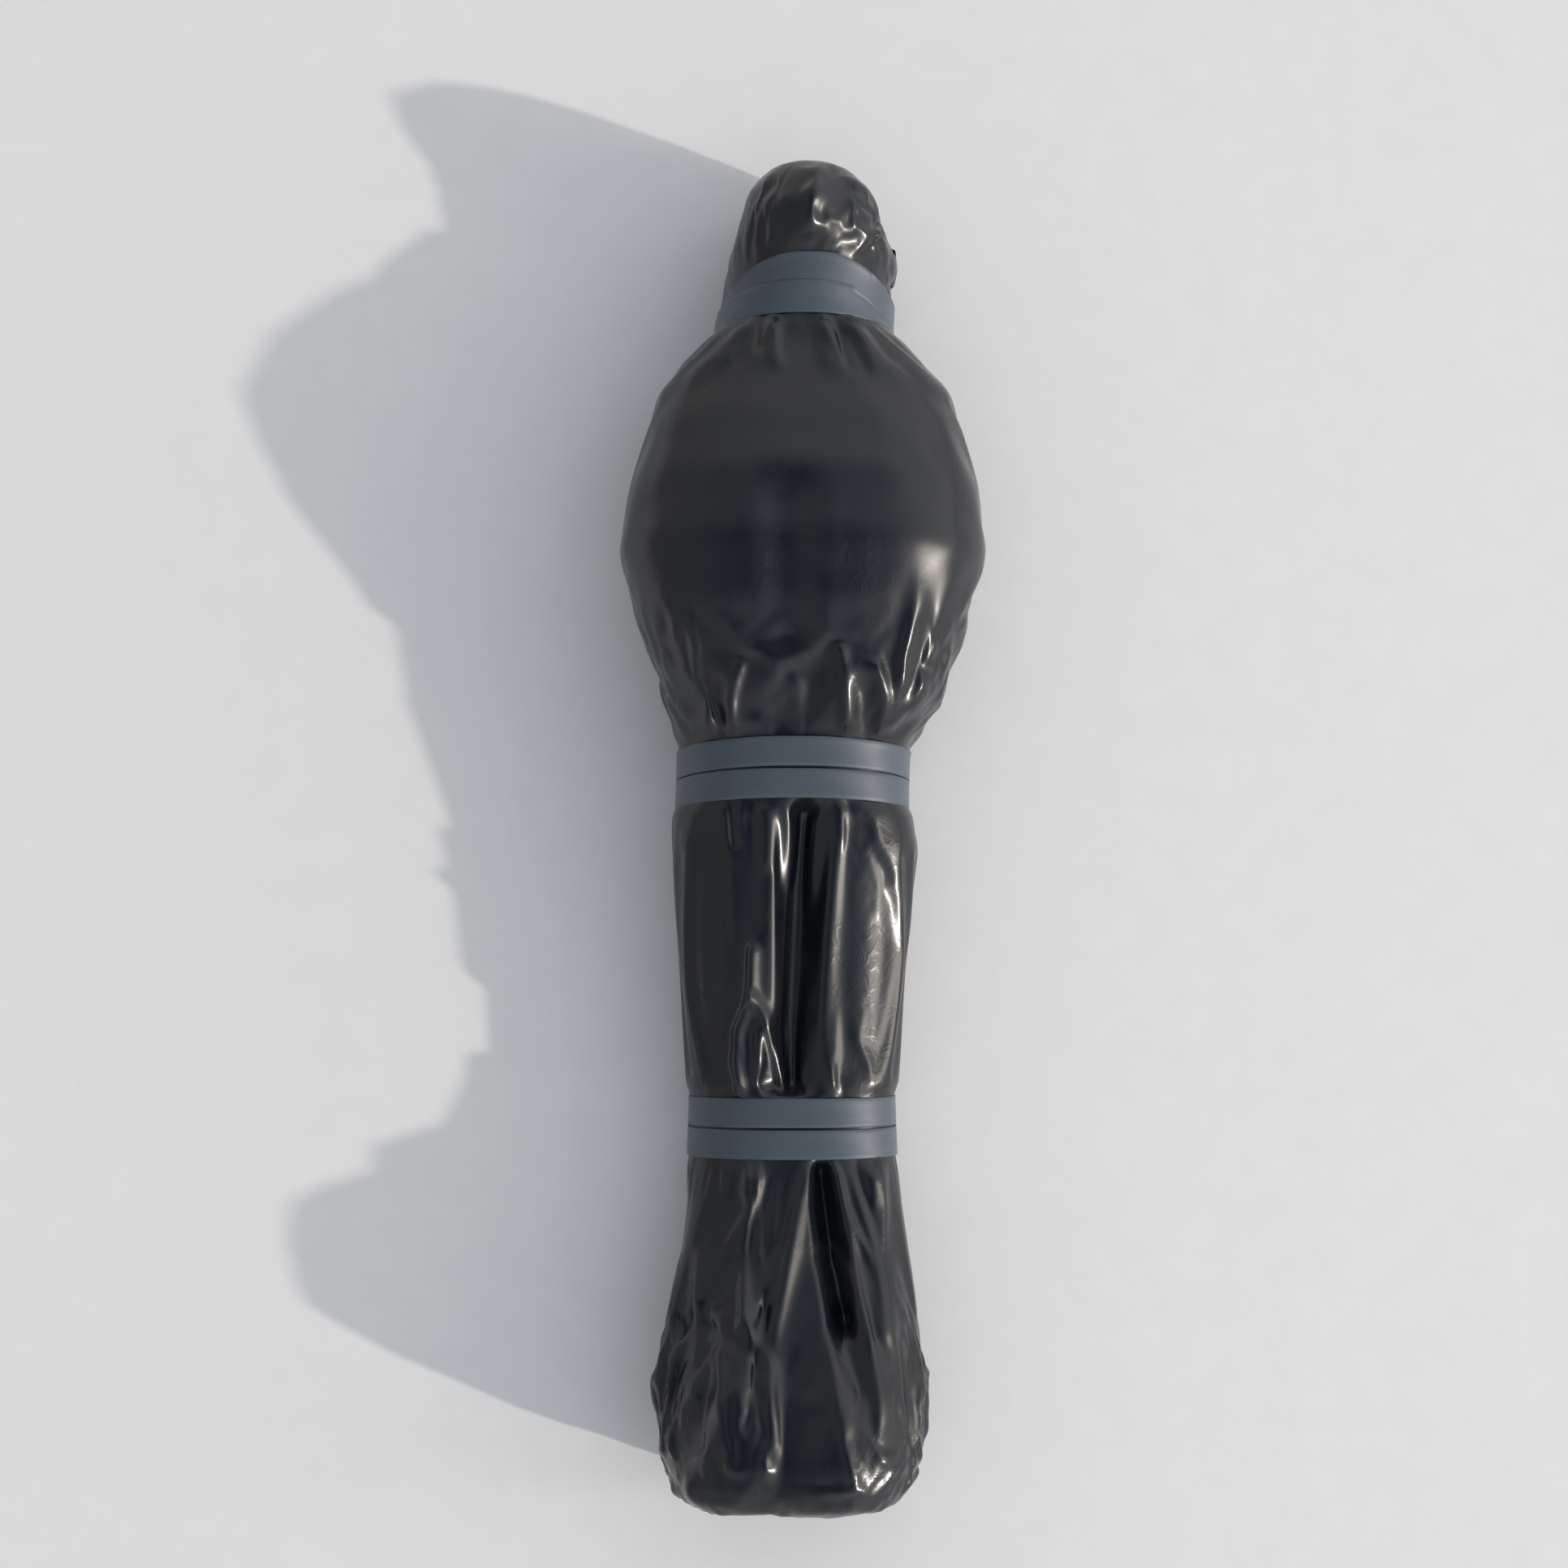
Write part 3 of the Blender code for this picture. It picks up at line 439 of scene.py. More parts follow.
# ---------------------------------------------------------------- the sheet before it settles

def looseness(x, level, z):
    """From 0, taut, to 1, very loose: how much the sheet has to spare at a point."""
    hood = ramp(level, NECK_TOP - 0.01, NECK_TOP + 0.02)
    value = 0.03
    value += 0.55 * ramp(abs(x), 0.12, 0.18) * bump(level, 0.20, 0.075)       # sides above the hips
    value += 0.22 * bump(level, HIP_TOP + 0.030, 0.035)
    value += 0.25 * bump(level, NECK_BOTTOM - 0.025, 0.030)
    value += 0.50 * ramp(x, 0.080, 0.105) * hood * ramp(-level, -0.83, -0.79)  # pocket by the ear
    value += 0.05 * hood
    value += 0.06 * bump(level, HIP_BOTTOM - 0.025, 0.025)
    value += 0.10 * bump(level, KNEE_TOP + 0.05, 0.05)
    value += 0.04 * ramp(-level, -KNEE_BOTTOM, 0.52)
    value += 0.50 * ramp(-level, 0.60, 0.70) * ramp(abs(x - LEG_MIDDLE), 0.08, 0.13)
    value += 0.45 * ramp(-level, 0.80, 0.85)
    return min(1.0, value)


def crumple(x, level):
    """From 0 to 1: how crumpled the sheet is at a point, besides what its looseness does."""
    value = 0.70 * ramp(abs(x), 0.14, 0.19) * bump(level, 0.21, 0.080)
    value += 0.70 * ramp(x, 0.090, 0.112) * bump(level, 0.762, 0.024)
    value += 0.20 * ramp(-x, 0.075, 0.100) * ramp(level, NECK_TOP, NECK_TOP + 0.02)
    value += 0.90 * ramp(-level, 0.60, 0.68) * ramp(abs(x - LEG_MIDDLE), 0.12, 0.16)
    value += 0.90 * ramp(-level, 0.825, 0.860)
    value += 0.45 * bump(level, -0.650, 0.020) * bump(x, -0.095, 0.030)
    return min(1.0, value)


def cap_faces(ring, interior):
    """Faces of a square grid whose border is the ring, and whose inside is the interior."""
    side = CAP_SIDE
    grid = [[None] * (side + 1) for _ in range(side + 1)]
    border = [(0, j) for j in range(side)] + [(i, side) for i in range(side)]
    border += [(side, j) for j in range(side, 0, -1)] + [(i, 0) for i in range(side, 0, -1)]
    start = side // 2
    for number, (i, j) in enumerate(border):
        grid[i][j] = ring[(number - start) % len(ring)]
    index = 0
    for i in range(1, side):
        for j in range(1, side):
            grid[i][j] = interior[index]
            index += 1
    faces = [(grid[i][j], grid[i + 1][j], grid[i + 1][j + 1], grid[i][j + 1])
             for i in range(side) for j in range(side)]
    return grid, faces


def cap_points(points, ring, outward, reach):
    """The inside points of a domed end, spread evenly within its ring."""
    side = CAP_SIDE
    numbers = list(range(len(points), len(points) + (side - 1) ** 2))
    grid, faces = cap_faces(ring, numbers)
    middle = np.mean([points[index] for index in ring], axis=0)
    place = np.tile(middle, (side + 1, side + 1, 1))
    for i in range(side + 1):
        for j in range(side + 1):
            if i in (0, side) or j in (0, side):
                place[i, j] = points[grid[i][j]]
    for _ in range(900):
        place[1:-1, 1:-1] = (place[:-2, 1:-1] + place[2:, 1:-1] + place[1:-1, :-2] + place[1:-1, 2:]) / 4
    half_x = np.ptp(place[..., 0]) / 2
    half_z = np.ptp(place[..., 2]) / 2
    spread = ((place[..., 0] - middle[0]) / half_x) ** 2 + ((place[..., 2] - middle[2]) / half_z) ** 2
    dome = np.sqrt(np.clip(1 - spread, 0, 1)) * reach * outward
    place[1:-1, 1:-1, 1] += dome[1:-1, 1:-1]
    return [place[i, j] for i in range(1, side) for j in range(1, side)], faces


def sheet_start():
    """The whole sheet as one closed bag: rings from the crown to the soles, and two domed ends."""
    levels = np.linspace(CROWN - CAP_LENGTH, SOLE + CAP_LENGTH,
                         round((CROWN - SOLE - 2 * CAP_LENGTH) / ROW_STEP) + 1)
    points, held = [], []
    for level in levels:
        tied = strap_tie(level)
        outset = 0.006 * (1 - tied) - 0.0008 * tied
        points += list(crumpled(folded(ring_points(level, outset), 0.92 * tied), tied))
        for x, _, _ in points[-RING_COUNT:]:
            slip = NECK_SLIP * ramp(abs(x), 0.03, 0.11) if level > HIP_TOP else 0.0
            held.append(any(low + STRAP_MARGIN < level < high - slip - STRAP_MARGIN
                            for low, high in STRAP_PAIRS))
    faces = []
    count = RING_COUNT
    for row in range(len(levels) - 1):
        upper, lower = row * count, (row + 1) * count
        for i in range(count):
            after = (i + 1) % count
            faces.append((lower + i, lower + after, upper + after, upper + i))
    crown_ring = list(range(count))
    sole_ring = list(range((len(levels) - 1) * count, len(levels) * count))
    more, crown_faces = cap_points(points, crown_ring, 1, CAP_LENGTH)
    points += more
    faces += [tuple(reversed(face)) for face in crown_faces]
    more, sole_faces = cap_points(points, sole_ring, -1, CAP_LENGTH)
    points += more
    faces += sole_faces
    held += [False] * (len(points) - len(held))
    return clear_of_foam(np.array(points)), faces, held


def settle(points, faces, held):
    """Lets the sheet fall on the dummy and crumple where it has length to spare."""
    mesh = mesh_from("sheet_form", points, faces)
    cloth_object = new_object("sheet_form", mesh)
    pins = cloth_object.vertex_groups.new(name="pins")
    pins.add([index for index, pinned in enumerate(held) if pinned], 1.0, "REPLACE")
    loose = cloth_object.vertex_groups.new(name="loose")
    for index, (x, y, z) in enumerate(points):
        loose.add([index], looseness(x, y, z), "REPLACE")
    modifier = cloth_object.modifiers.new("cloth", "CLOTH")
    cloth = modifier.settings
    cloth.quality = 6
    cloth.mass = 0.012
    cloth.air_damping = 2.0
    cloth.bending_model = "ANGULAR"
    cloth.tension_stiffness = 20.0
    cloth.compression_stiffness = 20.0
    cloth.shear_stiffness = 8.0
    cloth.bending_stiffness = 0.7
    cloth.tension_damping = 8.0
    cloth.compression_damping = 8.0
    cloth.shear_damping = 8.0
    cloth.bending_damping = 0.5
    cloth.vertex_group_mass = "pins"
    cloth.pin_stiffness = 1.0
    cloth.vertex_group_shrink = "loose"
    cloth.shrink_min = 0.0
    cloth.shrink_max = -0.13
    modifier.collision_settings.distance_min = 0.002
    modifier.collision_settings.collision_quality = 3
    modifier.collision_settings.use_self_collision = False
    modifier.point_cache.frame_start = 1
    modifier.point_cache.frame_end = SIM_FRAMES
    scene = bpy.context.scene
    for number in range(1, SIM_FRAMES + 1):
        scene.frame_set(number)
    shape = cloth_object.evaluated_get(bpy.context.evaluated_depsgraph_get())
    settled = np.array([vertex.co[:] for vertex in shape.data.vertices])
    scene.frame_set(1)
    bpy.data.objects.remove(cloth_object)
    return settled


def eased(points, passes=6):
    """Evens out the taut stretch over the chest and the folded arms."""
    rows = (len(points) - 2 * (CAP_SIDE - 1) ** 2) // RING_COUNT
    grid = points[:rows * RING_COUNT].reshape(rows, RING_COUNT, 3)
    level, height = grid[..., 1], grid[..., 2]
    share = np.clip((level - 0.24) / 0.06, 0, 1) * np.clip((0.60 - level) / 0.05, 0, 1)
    share = (share * np.clip((height - 0.14) / 0.05, 0, 1))[1:-1, :, None]
    for _ in range(passes):
        beside = np.roll(grid, 1, axis=1) + np.roll(grid, -1, axis=1)
        mean = (grid[:-2] + grid[2:] + beside[1:-1]) / 4
        grid[1:-1] += 0.8 * share * (mean - grid[1:-1])
    return points


def settled_sheet():
    points, faces, held = sheet_start()
    body, ground = make_body(), make_ground()
    settled = settle(points, faces, held)
    for form in (body, ground):
        bpy.data.objects.remove(form)
    return clear_of_foam(eased(settled)), faces


def clear_of_foam(points, gap=0.0028):
    """Moves points that lie inside the foam, or nearer than the gap, out to its surface."""
    for name in FOAM_UNDER_SHEET:
        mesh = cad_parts[name].data
        corners = [vertex.co for vertex in mesh.vertices]
        tree = BVHTree.FromPolygons(corners, [list(face.vertices) for face in mesh.polygons])
        low, high = np.min(corners, axis=0) - gap, np.max(corners, axis=0) + gap
        for index in np.nonzero(((points > low) & (points < high)).all(axis=1))[0]:
            spot, normal, _, _ = tree.find_nearest(Vector(points[index]))
            if (Vector(points[index]) - spot).dot(normal) < gap:
                points[index] = spot + normal * gap
    points[:, 2] = np.maximum(points[:, 2], FLOOR_GAP)
    return points


# ---------------------------------------------------------------- covers cut from the sheet

def cover(name, points, faces, rows, material):
    """The stretch of the sheet between two levels, as its own object."""
    top, bottom = rows
    centre = [np.mean([start_level[index] for index in face]) for face in faces]
    kept = [face for face, level in zip(faces, centre) if bottom < level < top]
    used = sorted({index for face in kept for index in face})
    order = {index: number for number, index in enumerate(used)}
    mesh = mesh_from(name, [points[index] for index in used],
                     [tuple(order[index] for index in face) for face in kept])
    mesh.shade_smooth()
    thing = new_object(name, mesh, material)
    subdivision = thing.modifiers.new("rounded", "SUBSURF")
    subdivision.levels = subdivision.render_levels = 1
    return thing


def apply_modifiers(thing):
    graph = bpy.context.evaluated_depsgraph_get()
    mesh = bpy.data.meshes.new_from_object(thing.evaluated_get(graph))
    thing.modifiers.clear()
    thing.data = mesh
    return thing


def creased(thing):
    """Presses the sharp creases into the upper side of a cover."""
    mesh = thing.data
    spots = np.array([vertex.co[:] for vertex in mesh.vertices])
    facing = np.array([vertex.normal.z for vertex in mesh.vertices])
    share = np.clip((facing - 0.20) / 0.30, 0, 1)
    free = np.array([1 - strap_tie(level) for level in spots[:, 1]])
    spots[:, 2] += share * free * relief(spots[:, 0], spots[:, 1], CREASES)
    spots[:, 2] = np.maximum(spots[:, 2], FLOOR_GAP)
    for vertex, spot in zip(mesh.vertices, spots):
        vertex.co = spot
    return thing


# ---------------------------------------------------------------- node groups and materials

def new_group(name, inputs, outputs):
    """An empty node group with named float or vector inputs and float outputs."""
    group = bpy.data.node_groups.new(name, "ShaderNodeTree")
    for label, kind, value in inputs:
        socket = group.interface.new_socket(label, in_out="INPUT", socket_type=kind)
        if kind == "NodeSocketFloat":
            socket.default_value = value
    for label in outputs:
        group.interface.new_socket(label, in_out="OUTPUT", socket_type="NodeSocketFloat")
    start = group.nodes.new("NodeGroupInput")
    end = group.nodes.new("NodeGroupOutput")
    return group, start, end


def add_node(tree, kind, settings=None, **values):
    node = tree.nodes.new(kind)
    for label, value in (settings or {}).items():
        setattr(node, label, value)
    for label, value in values.items():
        node.inputs[label.replace("_", " ")].default_value = value
    return node


def noise_field(tree, vector, scale, detail=4.0, roughness=0.55, distortion=0.0, stretch=None):
    """Noise on a vector, which may be stretched first. scale may be a number or a socket."""
    if stretch:
        mapping = add_node(tree, "ShaderNodeMapping", Scale=stretch)
        tree.links.new(vector, mapping.inputs["Vector"])
        vector = mapping.outputs["Vector"]
    field = add_node(tree, "ShaderNodeTexNoise", Detail=detail, Roughness=roughness,
                     Distortion=distortion)
    tree.links.new(vector, field.inputs["Vector"])
    if isinstance(scale, (int, float)):
        field.inputs["Scale"].default_value = scale
    else:
        tree.links.new(scale, field.inputs["Scale"])
    return field.outputs["Fac"]


def remap(tree, value, low, high, to_low=0.0, to_high=1.0):
    node = add_node(tree, "ShaderNodeMapRange", {"interpolation_type": "SMOOTHSTEP"})
    for label, number in (("From Min", low), ("From Max", high), ("To Min", to_low),
                          ("To Max", to_high)):
        node.inputs[label].default_value = number
    tree.links.new(value, node.inputs["Value"])
    return node.outputs["Result"]


def maths(tree, operation, first, second):
    node = tree.nodes.new("ShaderNodeMath")
    node.operation = operation
    for index, value in enumerate((first, second)):
        if isinstance(value, (int, float)):
            node.inputs[index].default_value = value
        else:
            tree.links.new(value, node.inputs[index])
    return node.outputs["Value"]


def film_group():
    """Creases, smears and dust of a thin plastic film."""
    group, start, end = new_group(
        "film_wear", (("Vector", "NodeSocketVector", None), ("Crease Scale", "NodeSocketFloat", 42.0),
                      ("Smear Scale", "NodeSocketFloat", 9.0)), ("Crease", "Smear", "Dust"))
    vector = start.outputs["Vector"]
    soft = noise_field(group, vector, start.outputs["Crease Scale"], 3.0, 0.45, 0.6)
    ridge = maths(group, "ABSOLUTE", maths(group, "SUBTRACT", soft, 0.5), 0.0)
    crease = maths(group, "SUBTRACT", 1.0, remap(group, ridge, 0.0, 0.10))
    where = remap(group, noise_field(group, vector, 7.0, 2.0), 0.42, 0.62)
    fine = noise_field(group, vector, 260.0, 2.0, 0.5)
    height = maths(group, "ADD", maths(group, "MULTIPLY", crease, where),
                   maths(group, "MULTIPLY", fine, 0.18))
    group.links.new(height, end.inputs["Crease"])
    smear = noise_field(group, vector, start.outputs["Smear Scale"], 5.0, 0.6, 1.4, (1.0, 0.35, 1.0))
    group.links.new(remap(group, smear, 0.40, 0.68), end.inputs["Smear"])
    specks = add_node(group, "ShaderNodeTexVoronoi", Scale=330.0)
    group.links.new(vector, specks.inputs["Vector"])
    dust = maths(group, "SUBTRACT", 1.0, remap(group, specks.outputs["Distance"], 0.05, 0.16))
    patches = remap(group, noise_field(group, vector, 14.0, 3.0), 0.52, 0.70)
    group.links.new(maths(group, "MULTIPLY", dust, patches), end.inputs["Dust"])
    return group


def weave_group():
    """Ribs and yarns of a flat woven strap, on a map in metres."""
    group, start, end = new_group(
        "strap_weave", (("Vector", "NodeSocketVector", None), ("Rib Pitch", "NodeSocketFloat", 0.0012),
                        ("Strap Width", "NodeSocketFloat", 0.038)), ("Height", "Shade", "Edge"))
    split = group.nodes.new("ShaderNodeSeparateXYZ")
    group.links.new(start.outputs["Vector"], split.inputs["Vector"])
    turns = maths(group, "DIVIDE", 2 * math.pi, start.outputs["Rib Pitch"])
    warp = maths(group, "SINE", maths(group, "MULTIPLY", split.outputs["X"], turns), 0.0)
    weft = maths(group, "SINE", maths(group, "MULTIPLY", split.outputs["Y"], turns), 0.0)
    woven = maths(group, "MULTIPLY", warp, weft)
    height = maths(group, "ADD", maths(group, "MULTIPLY", woven, 0.5),
                   maths(group, "MULTIPLY", warp, 0.35))
    group.links.new(height, end.inputs["Height"])
    shade = noise_field(group, start.outputs["Vector"], 30.0, 4.0, 0.6, 0.0, (1.0, 6.0, 1.0))
    group.links.new(remap(group, shade, 0.30, 0.70), end.inputs["Shade"])
    from_middle = maths(group, "ABSOLUTE", maths(group, "DIVIDE", split.outputs["Y"],
                                                  start.outputs["Strap Width"]), 0.0)
    group.links.new(remap(group, from_middle, 0.44, 0.50), end.inputs["Edge"])
    return group


def metal_group():
    """Drawn grain and worn patches of bare or painted steel."""
    group, start, end = new_group(
        "metal_grain", (("Vector", "NodeSocketVector", None), ("Grain Scale", "NodeSocketFloat", 300.0),
                        ("Wear", "NodeSocketFloat", 0.5)), ("Grain", "Worn", "Tarnish"))
    vector = start.outputs["Vector"]
    grain = noise_field(group, vector, start.outputs["Grain Scale"], 3.0, 0.6, 0.0, (1.0, 0.06, 1.0))
    group.links.new(grain, end.inputs["Grain"])
    chips = noise_field(group, vector, 120.0, 5.0, 0.7)
    line = maths(group, "SUBTRACT", 0.78, maths(group, "MULTIPLY", start.outputs["Wear"], 0.25))
    worn = maths(group, "GREATER_THAN", chips, line)
    group.links.new(worn, end.inputs["Worn"])
    group.links.new(remap(group, noise_field(group, vector, 26.0), 0.35, 0.70), end.inputs["Tarnish"])
    return group


def foam_group():
    """Open cells and a soft mottled tone."""
    group, start, end = new_group(
        "foam_cells", (("Vector", "NodeSocketVector", None), ("Cell Scale", "NodeSocketFloat", 620.0)),
        ("Height", "Tone"))
    cells = add_node(group, "ShaderNodeTexVoronoi", {"feature": "SMOOTH_F1"}, Smoothness=0.4)
    group.links.new(start.outputs["Vector"], cells.inputs["Vector"])
    group.links.new(start.outputs["Cell Scale"], cells.inputs["Scale"])
    group.links.new(cells.outputs["Distance"], end.inputs["Height"])
    tone = noise_field(group, start.outputs["Vector"], 18.0, 5.0, 0.6)
    group.links.new(remap(group, tone, 0.30, 0.72), end.inputs["Tone"])
    return group


FILM, WEAVE, METAL, FOAM = film_group(), weave_group(), metal_group(), foam_group()


def new_material(name, group, source="Object", **inputs):
    """A material whose shader is fed by one of the shared groups."""
    material = bpy.data.materials.new(name)
    material.use_nodes = True
    tree = material.node_tree
    shader = tree.nodes["Principled BSDF"]
    place = tree.nodes.new("ShaderNodeTexCoord")
    node = tree.nodes.new("ShaderNodeGroup")
    node.node_tree = group
    tree.links.new(place.outputs[source], node.inputs["Vector"])
    for label, value in inputs.items():
        node.inputs[label.replace("_", " ")].default_value = value
    return material, tree, shader, node


def mix_colours(tree, share, first, second):
    node = add_node(tree, "ShaderNodeMix", {"data_type": "RGBA"})
    for socket, value in ((node.inputs[6], first), (node.inputs[7], second)):
        if isinstance(value, tuple):
            socket.default_value = (*value, 1.0)
        else:
            tree.links.new(value, socket)
    tree.links.new(share, node.inputs["Factor"])
    return node.outputs[2]


def add_bump(tree, shader, height, strength, distance):
    node = add_node(tree, "ShaderNodeBump", Strength=strength, Distance=distance)
    tree.links.new(height, node.inputs["Height"])
    tree.links.new(node.outputs["Normal"], shader.inputs["Normal"])


def vinyl_material():
    material, tree, shader, film = new_material("vinyl_sheet", FILM)
    smeared = mix_colours(tree, film.outputs["Smear"], (0.0038, 0.0055, 0.0092), (0.0075, 0.0090, 0.0122))
    dusty = mix_colours(tree, film.outputs["Dust"], smeared, (0.035, 0.034, 0.032))
    tree.links.new(dusty, shader.inputs["Base Color"])
    tree.links.new(remap(tree, film.outputs["Smear"], 0.0, 1.0, 0.26, 0.35), shader.inputs["Roughness"])
    shader.inputs["Specular IOR Level"].default_value = 0.45
    shader.inputs["Coat Weight"].default_value = 0.10
    shader.inputs["Coat Roughness"].default_value = 0.16
    add_bump(tree, shader, film.outputs["Crease"], 0.13, 0.0009)
    return material


def webbing_material():
    material, tree, shader, weave = new_material("strap_webbing", WEAVE, "UV")
    cloth = mix_colours(tree, weave.outputs["Shade"], (0.057, 0.076, 0.099), (0.062, 0.082, 0.105))
    bound = mix_colours(tree, weave.outputs["Edge"], cloth, (0.047, 0.063, 0.083))
    tree.links.new(bound, shader.inputs["Base Color"])
    tree.links.new(remap(tree, weave.outputs["Shade"], 0.0, 1.0, 0.45, 0.40), shader.inputs["Roughness"])
    shader.inputs["Sheen Weight"].default_value = 0.12
    shader.inputs["Sheen Roughness"].default_value = 0.4
    shader.inputs["Anisotropic"].default_value = 0.3
    add_bump(tree, shader, weave.outputs["Height"], 0.30, 0.00018)
    return material


def thread_material():
    material, tree, shader, weave = new_material("stitch_thread", WEAVE, "Object", Rib_Pitch=0.0006)
    colour = mix_colours(tree, weave.outputs["Shade"], (0.020, 0.026, 0.034), (0.034, 0.042, 0.052))
    tree.links.new(colour, shader.inputs["Base Color"])
    shader.inputs["Roughness"].default_value = 0.6
    add_bump(tree, shader, weave.outputs["Height"], 0.4, 0.0001)
    return material


def foam_material(name, dark, light, cell_scale):
    material, tree, shader, foam = new_material(name, FOAM, Cell_Scale=cell_scale)
    tree.links.new(mix_colours(tree, foam.outputs["Tone"], dark, light), shader.inputs["Base Color"])
    shader.inputs["Roughness"].default_value = 0.92
    shader.inputs["Sheen Weight"].default_value = 0.25
    add_bump(tree, shader, foam.outputs["Height"], 0.6, 0.0008)
    return material


def steel_material(name, dark, light, metallic, rough, wear):
    material, tree, shader, metal = new_material(name, METAL, Wear=wear)
    base = mix_colours(tree, metal.outputs["Tarnish"], dark, light)
    bare = mix_colours(tree, metal.outputs["Worn"], base, (0.42, 0.42, 0.43))
    tree.links.new(bare, shader.inputs["Base Color"])
    if metallic < 1:
        tree.links.new(remap(tree, metal.outputs["Worn"], 0.0, 1.0, metallic, 1.0),
                       shader.inputs["Metallic"])
    else:
        shader.inputs["Metallic"].default_value = metallic
    tree.links.new(remap(tree, metal.outputs["Grain"], 0.25, 0.75, *rough), shader.inputs["Roughness"])
    add_bump(tree, shader, metal.outputs["Grain"], 0.15, 0.0003)
    return material


def floor_material():
    material, tree, shader, foam = new_material("floor_paint", FOAM, Cell_Scale=90.0)
    tree.links.new(mix_colours(tree, foam.outputs["Tone"], PALE_FLOOR, PALER_FLOOR),
                   shader.inputs["Base Color"])
    shader.inputs["Roughness"].default_value = 0.85
    shader.inputs["Specular IOR Level"].default_value = 0.2
    return material


VINYL = vinyl_material()
WEBBING = webbing_material()
THREAD = thread_material()
SOFT_FOAM = foam_material("foam_stuffing", (0.42, 0.38, 0.30), (0.56, 0.52, 0.43), 520.0)
FIRM_FOAM = foam_material("foam_firm", (0.10, 0.11, 0.12), (0.16, 0.17, 0.18), 760.0)
TUBE = steel_material("tube_steel", (0.34, 0.35, 0.37), (0.52, 0.53, 0.55), 1.0, (0.26, 0.42), 0.1)
HINGE = steel_material("hinge_steel", (0.020, 0.021, 0.023), (0.040, 0.041, 0.044), 0.0, (0.38, 0.55), 0.6)
PIN = steel_material("pin_steel", (0.55, 0.55, 0.56), (0.68, 0.68, 0.69), 1.0, (0.16, 0.28), 0.2)
FLOOR_PAINT = floor_material()
SLOT_MATERIALS = {"vinyl_sheet": VINYL, "strap_webbing": WEBBING, "foam_stuffing": SOFT_FOAM,
                  "foam_firm": FIRM_FOAM, "tube_steel": TUBE, "hinge_steel": HINGE, "pin_steel": PIN}


NODE_SLOTS = (("wrap", "vinyl_sheet"), ("strap", "strap_webbing"), ("crossbar", "tube_steel"),
              ("tube", "tube_steel"), ("post", "tube_steel"), ("fork", "hinge_steel"),
              ("tongue", "hinge_steel"), ("pin_", "pin_steel"), ("neck_pin", "pin_steel"),
              ("head_core", "foam_firm"), ("hand_core", "foam_firm"), ("foot_core", "foam_firm"),
              ("core", "foam_stuffing"))


def dress_nodes():
    """Gives every CAD node the finish of its slot."""
    for name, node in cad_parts.items():
        slot_name = next(slot for part, slot in NODE_SLOTS if part in name)
        node.data.materials.clear()
        node.data.materials.append(SLOT_MATERIALS[slot_name])


# ---------------------------------------------------------------- straps

def strap_rows():
    """How a flat strap's section runs round: share across its width, and share of its thickness."""
    across = np.linspace(0.0, 1.0, 9)
    outer = [(0.0, 0.55)] + [(0.02 + 0.96 * share, 1.0) for share in across] + [(1.0, 0.55)]
    inner = [(1.0, 0.45)] + [(0.98 - 0.96 * share, 0.0) for share in across] + [(0.0, 0.45)]
    return outer + inner


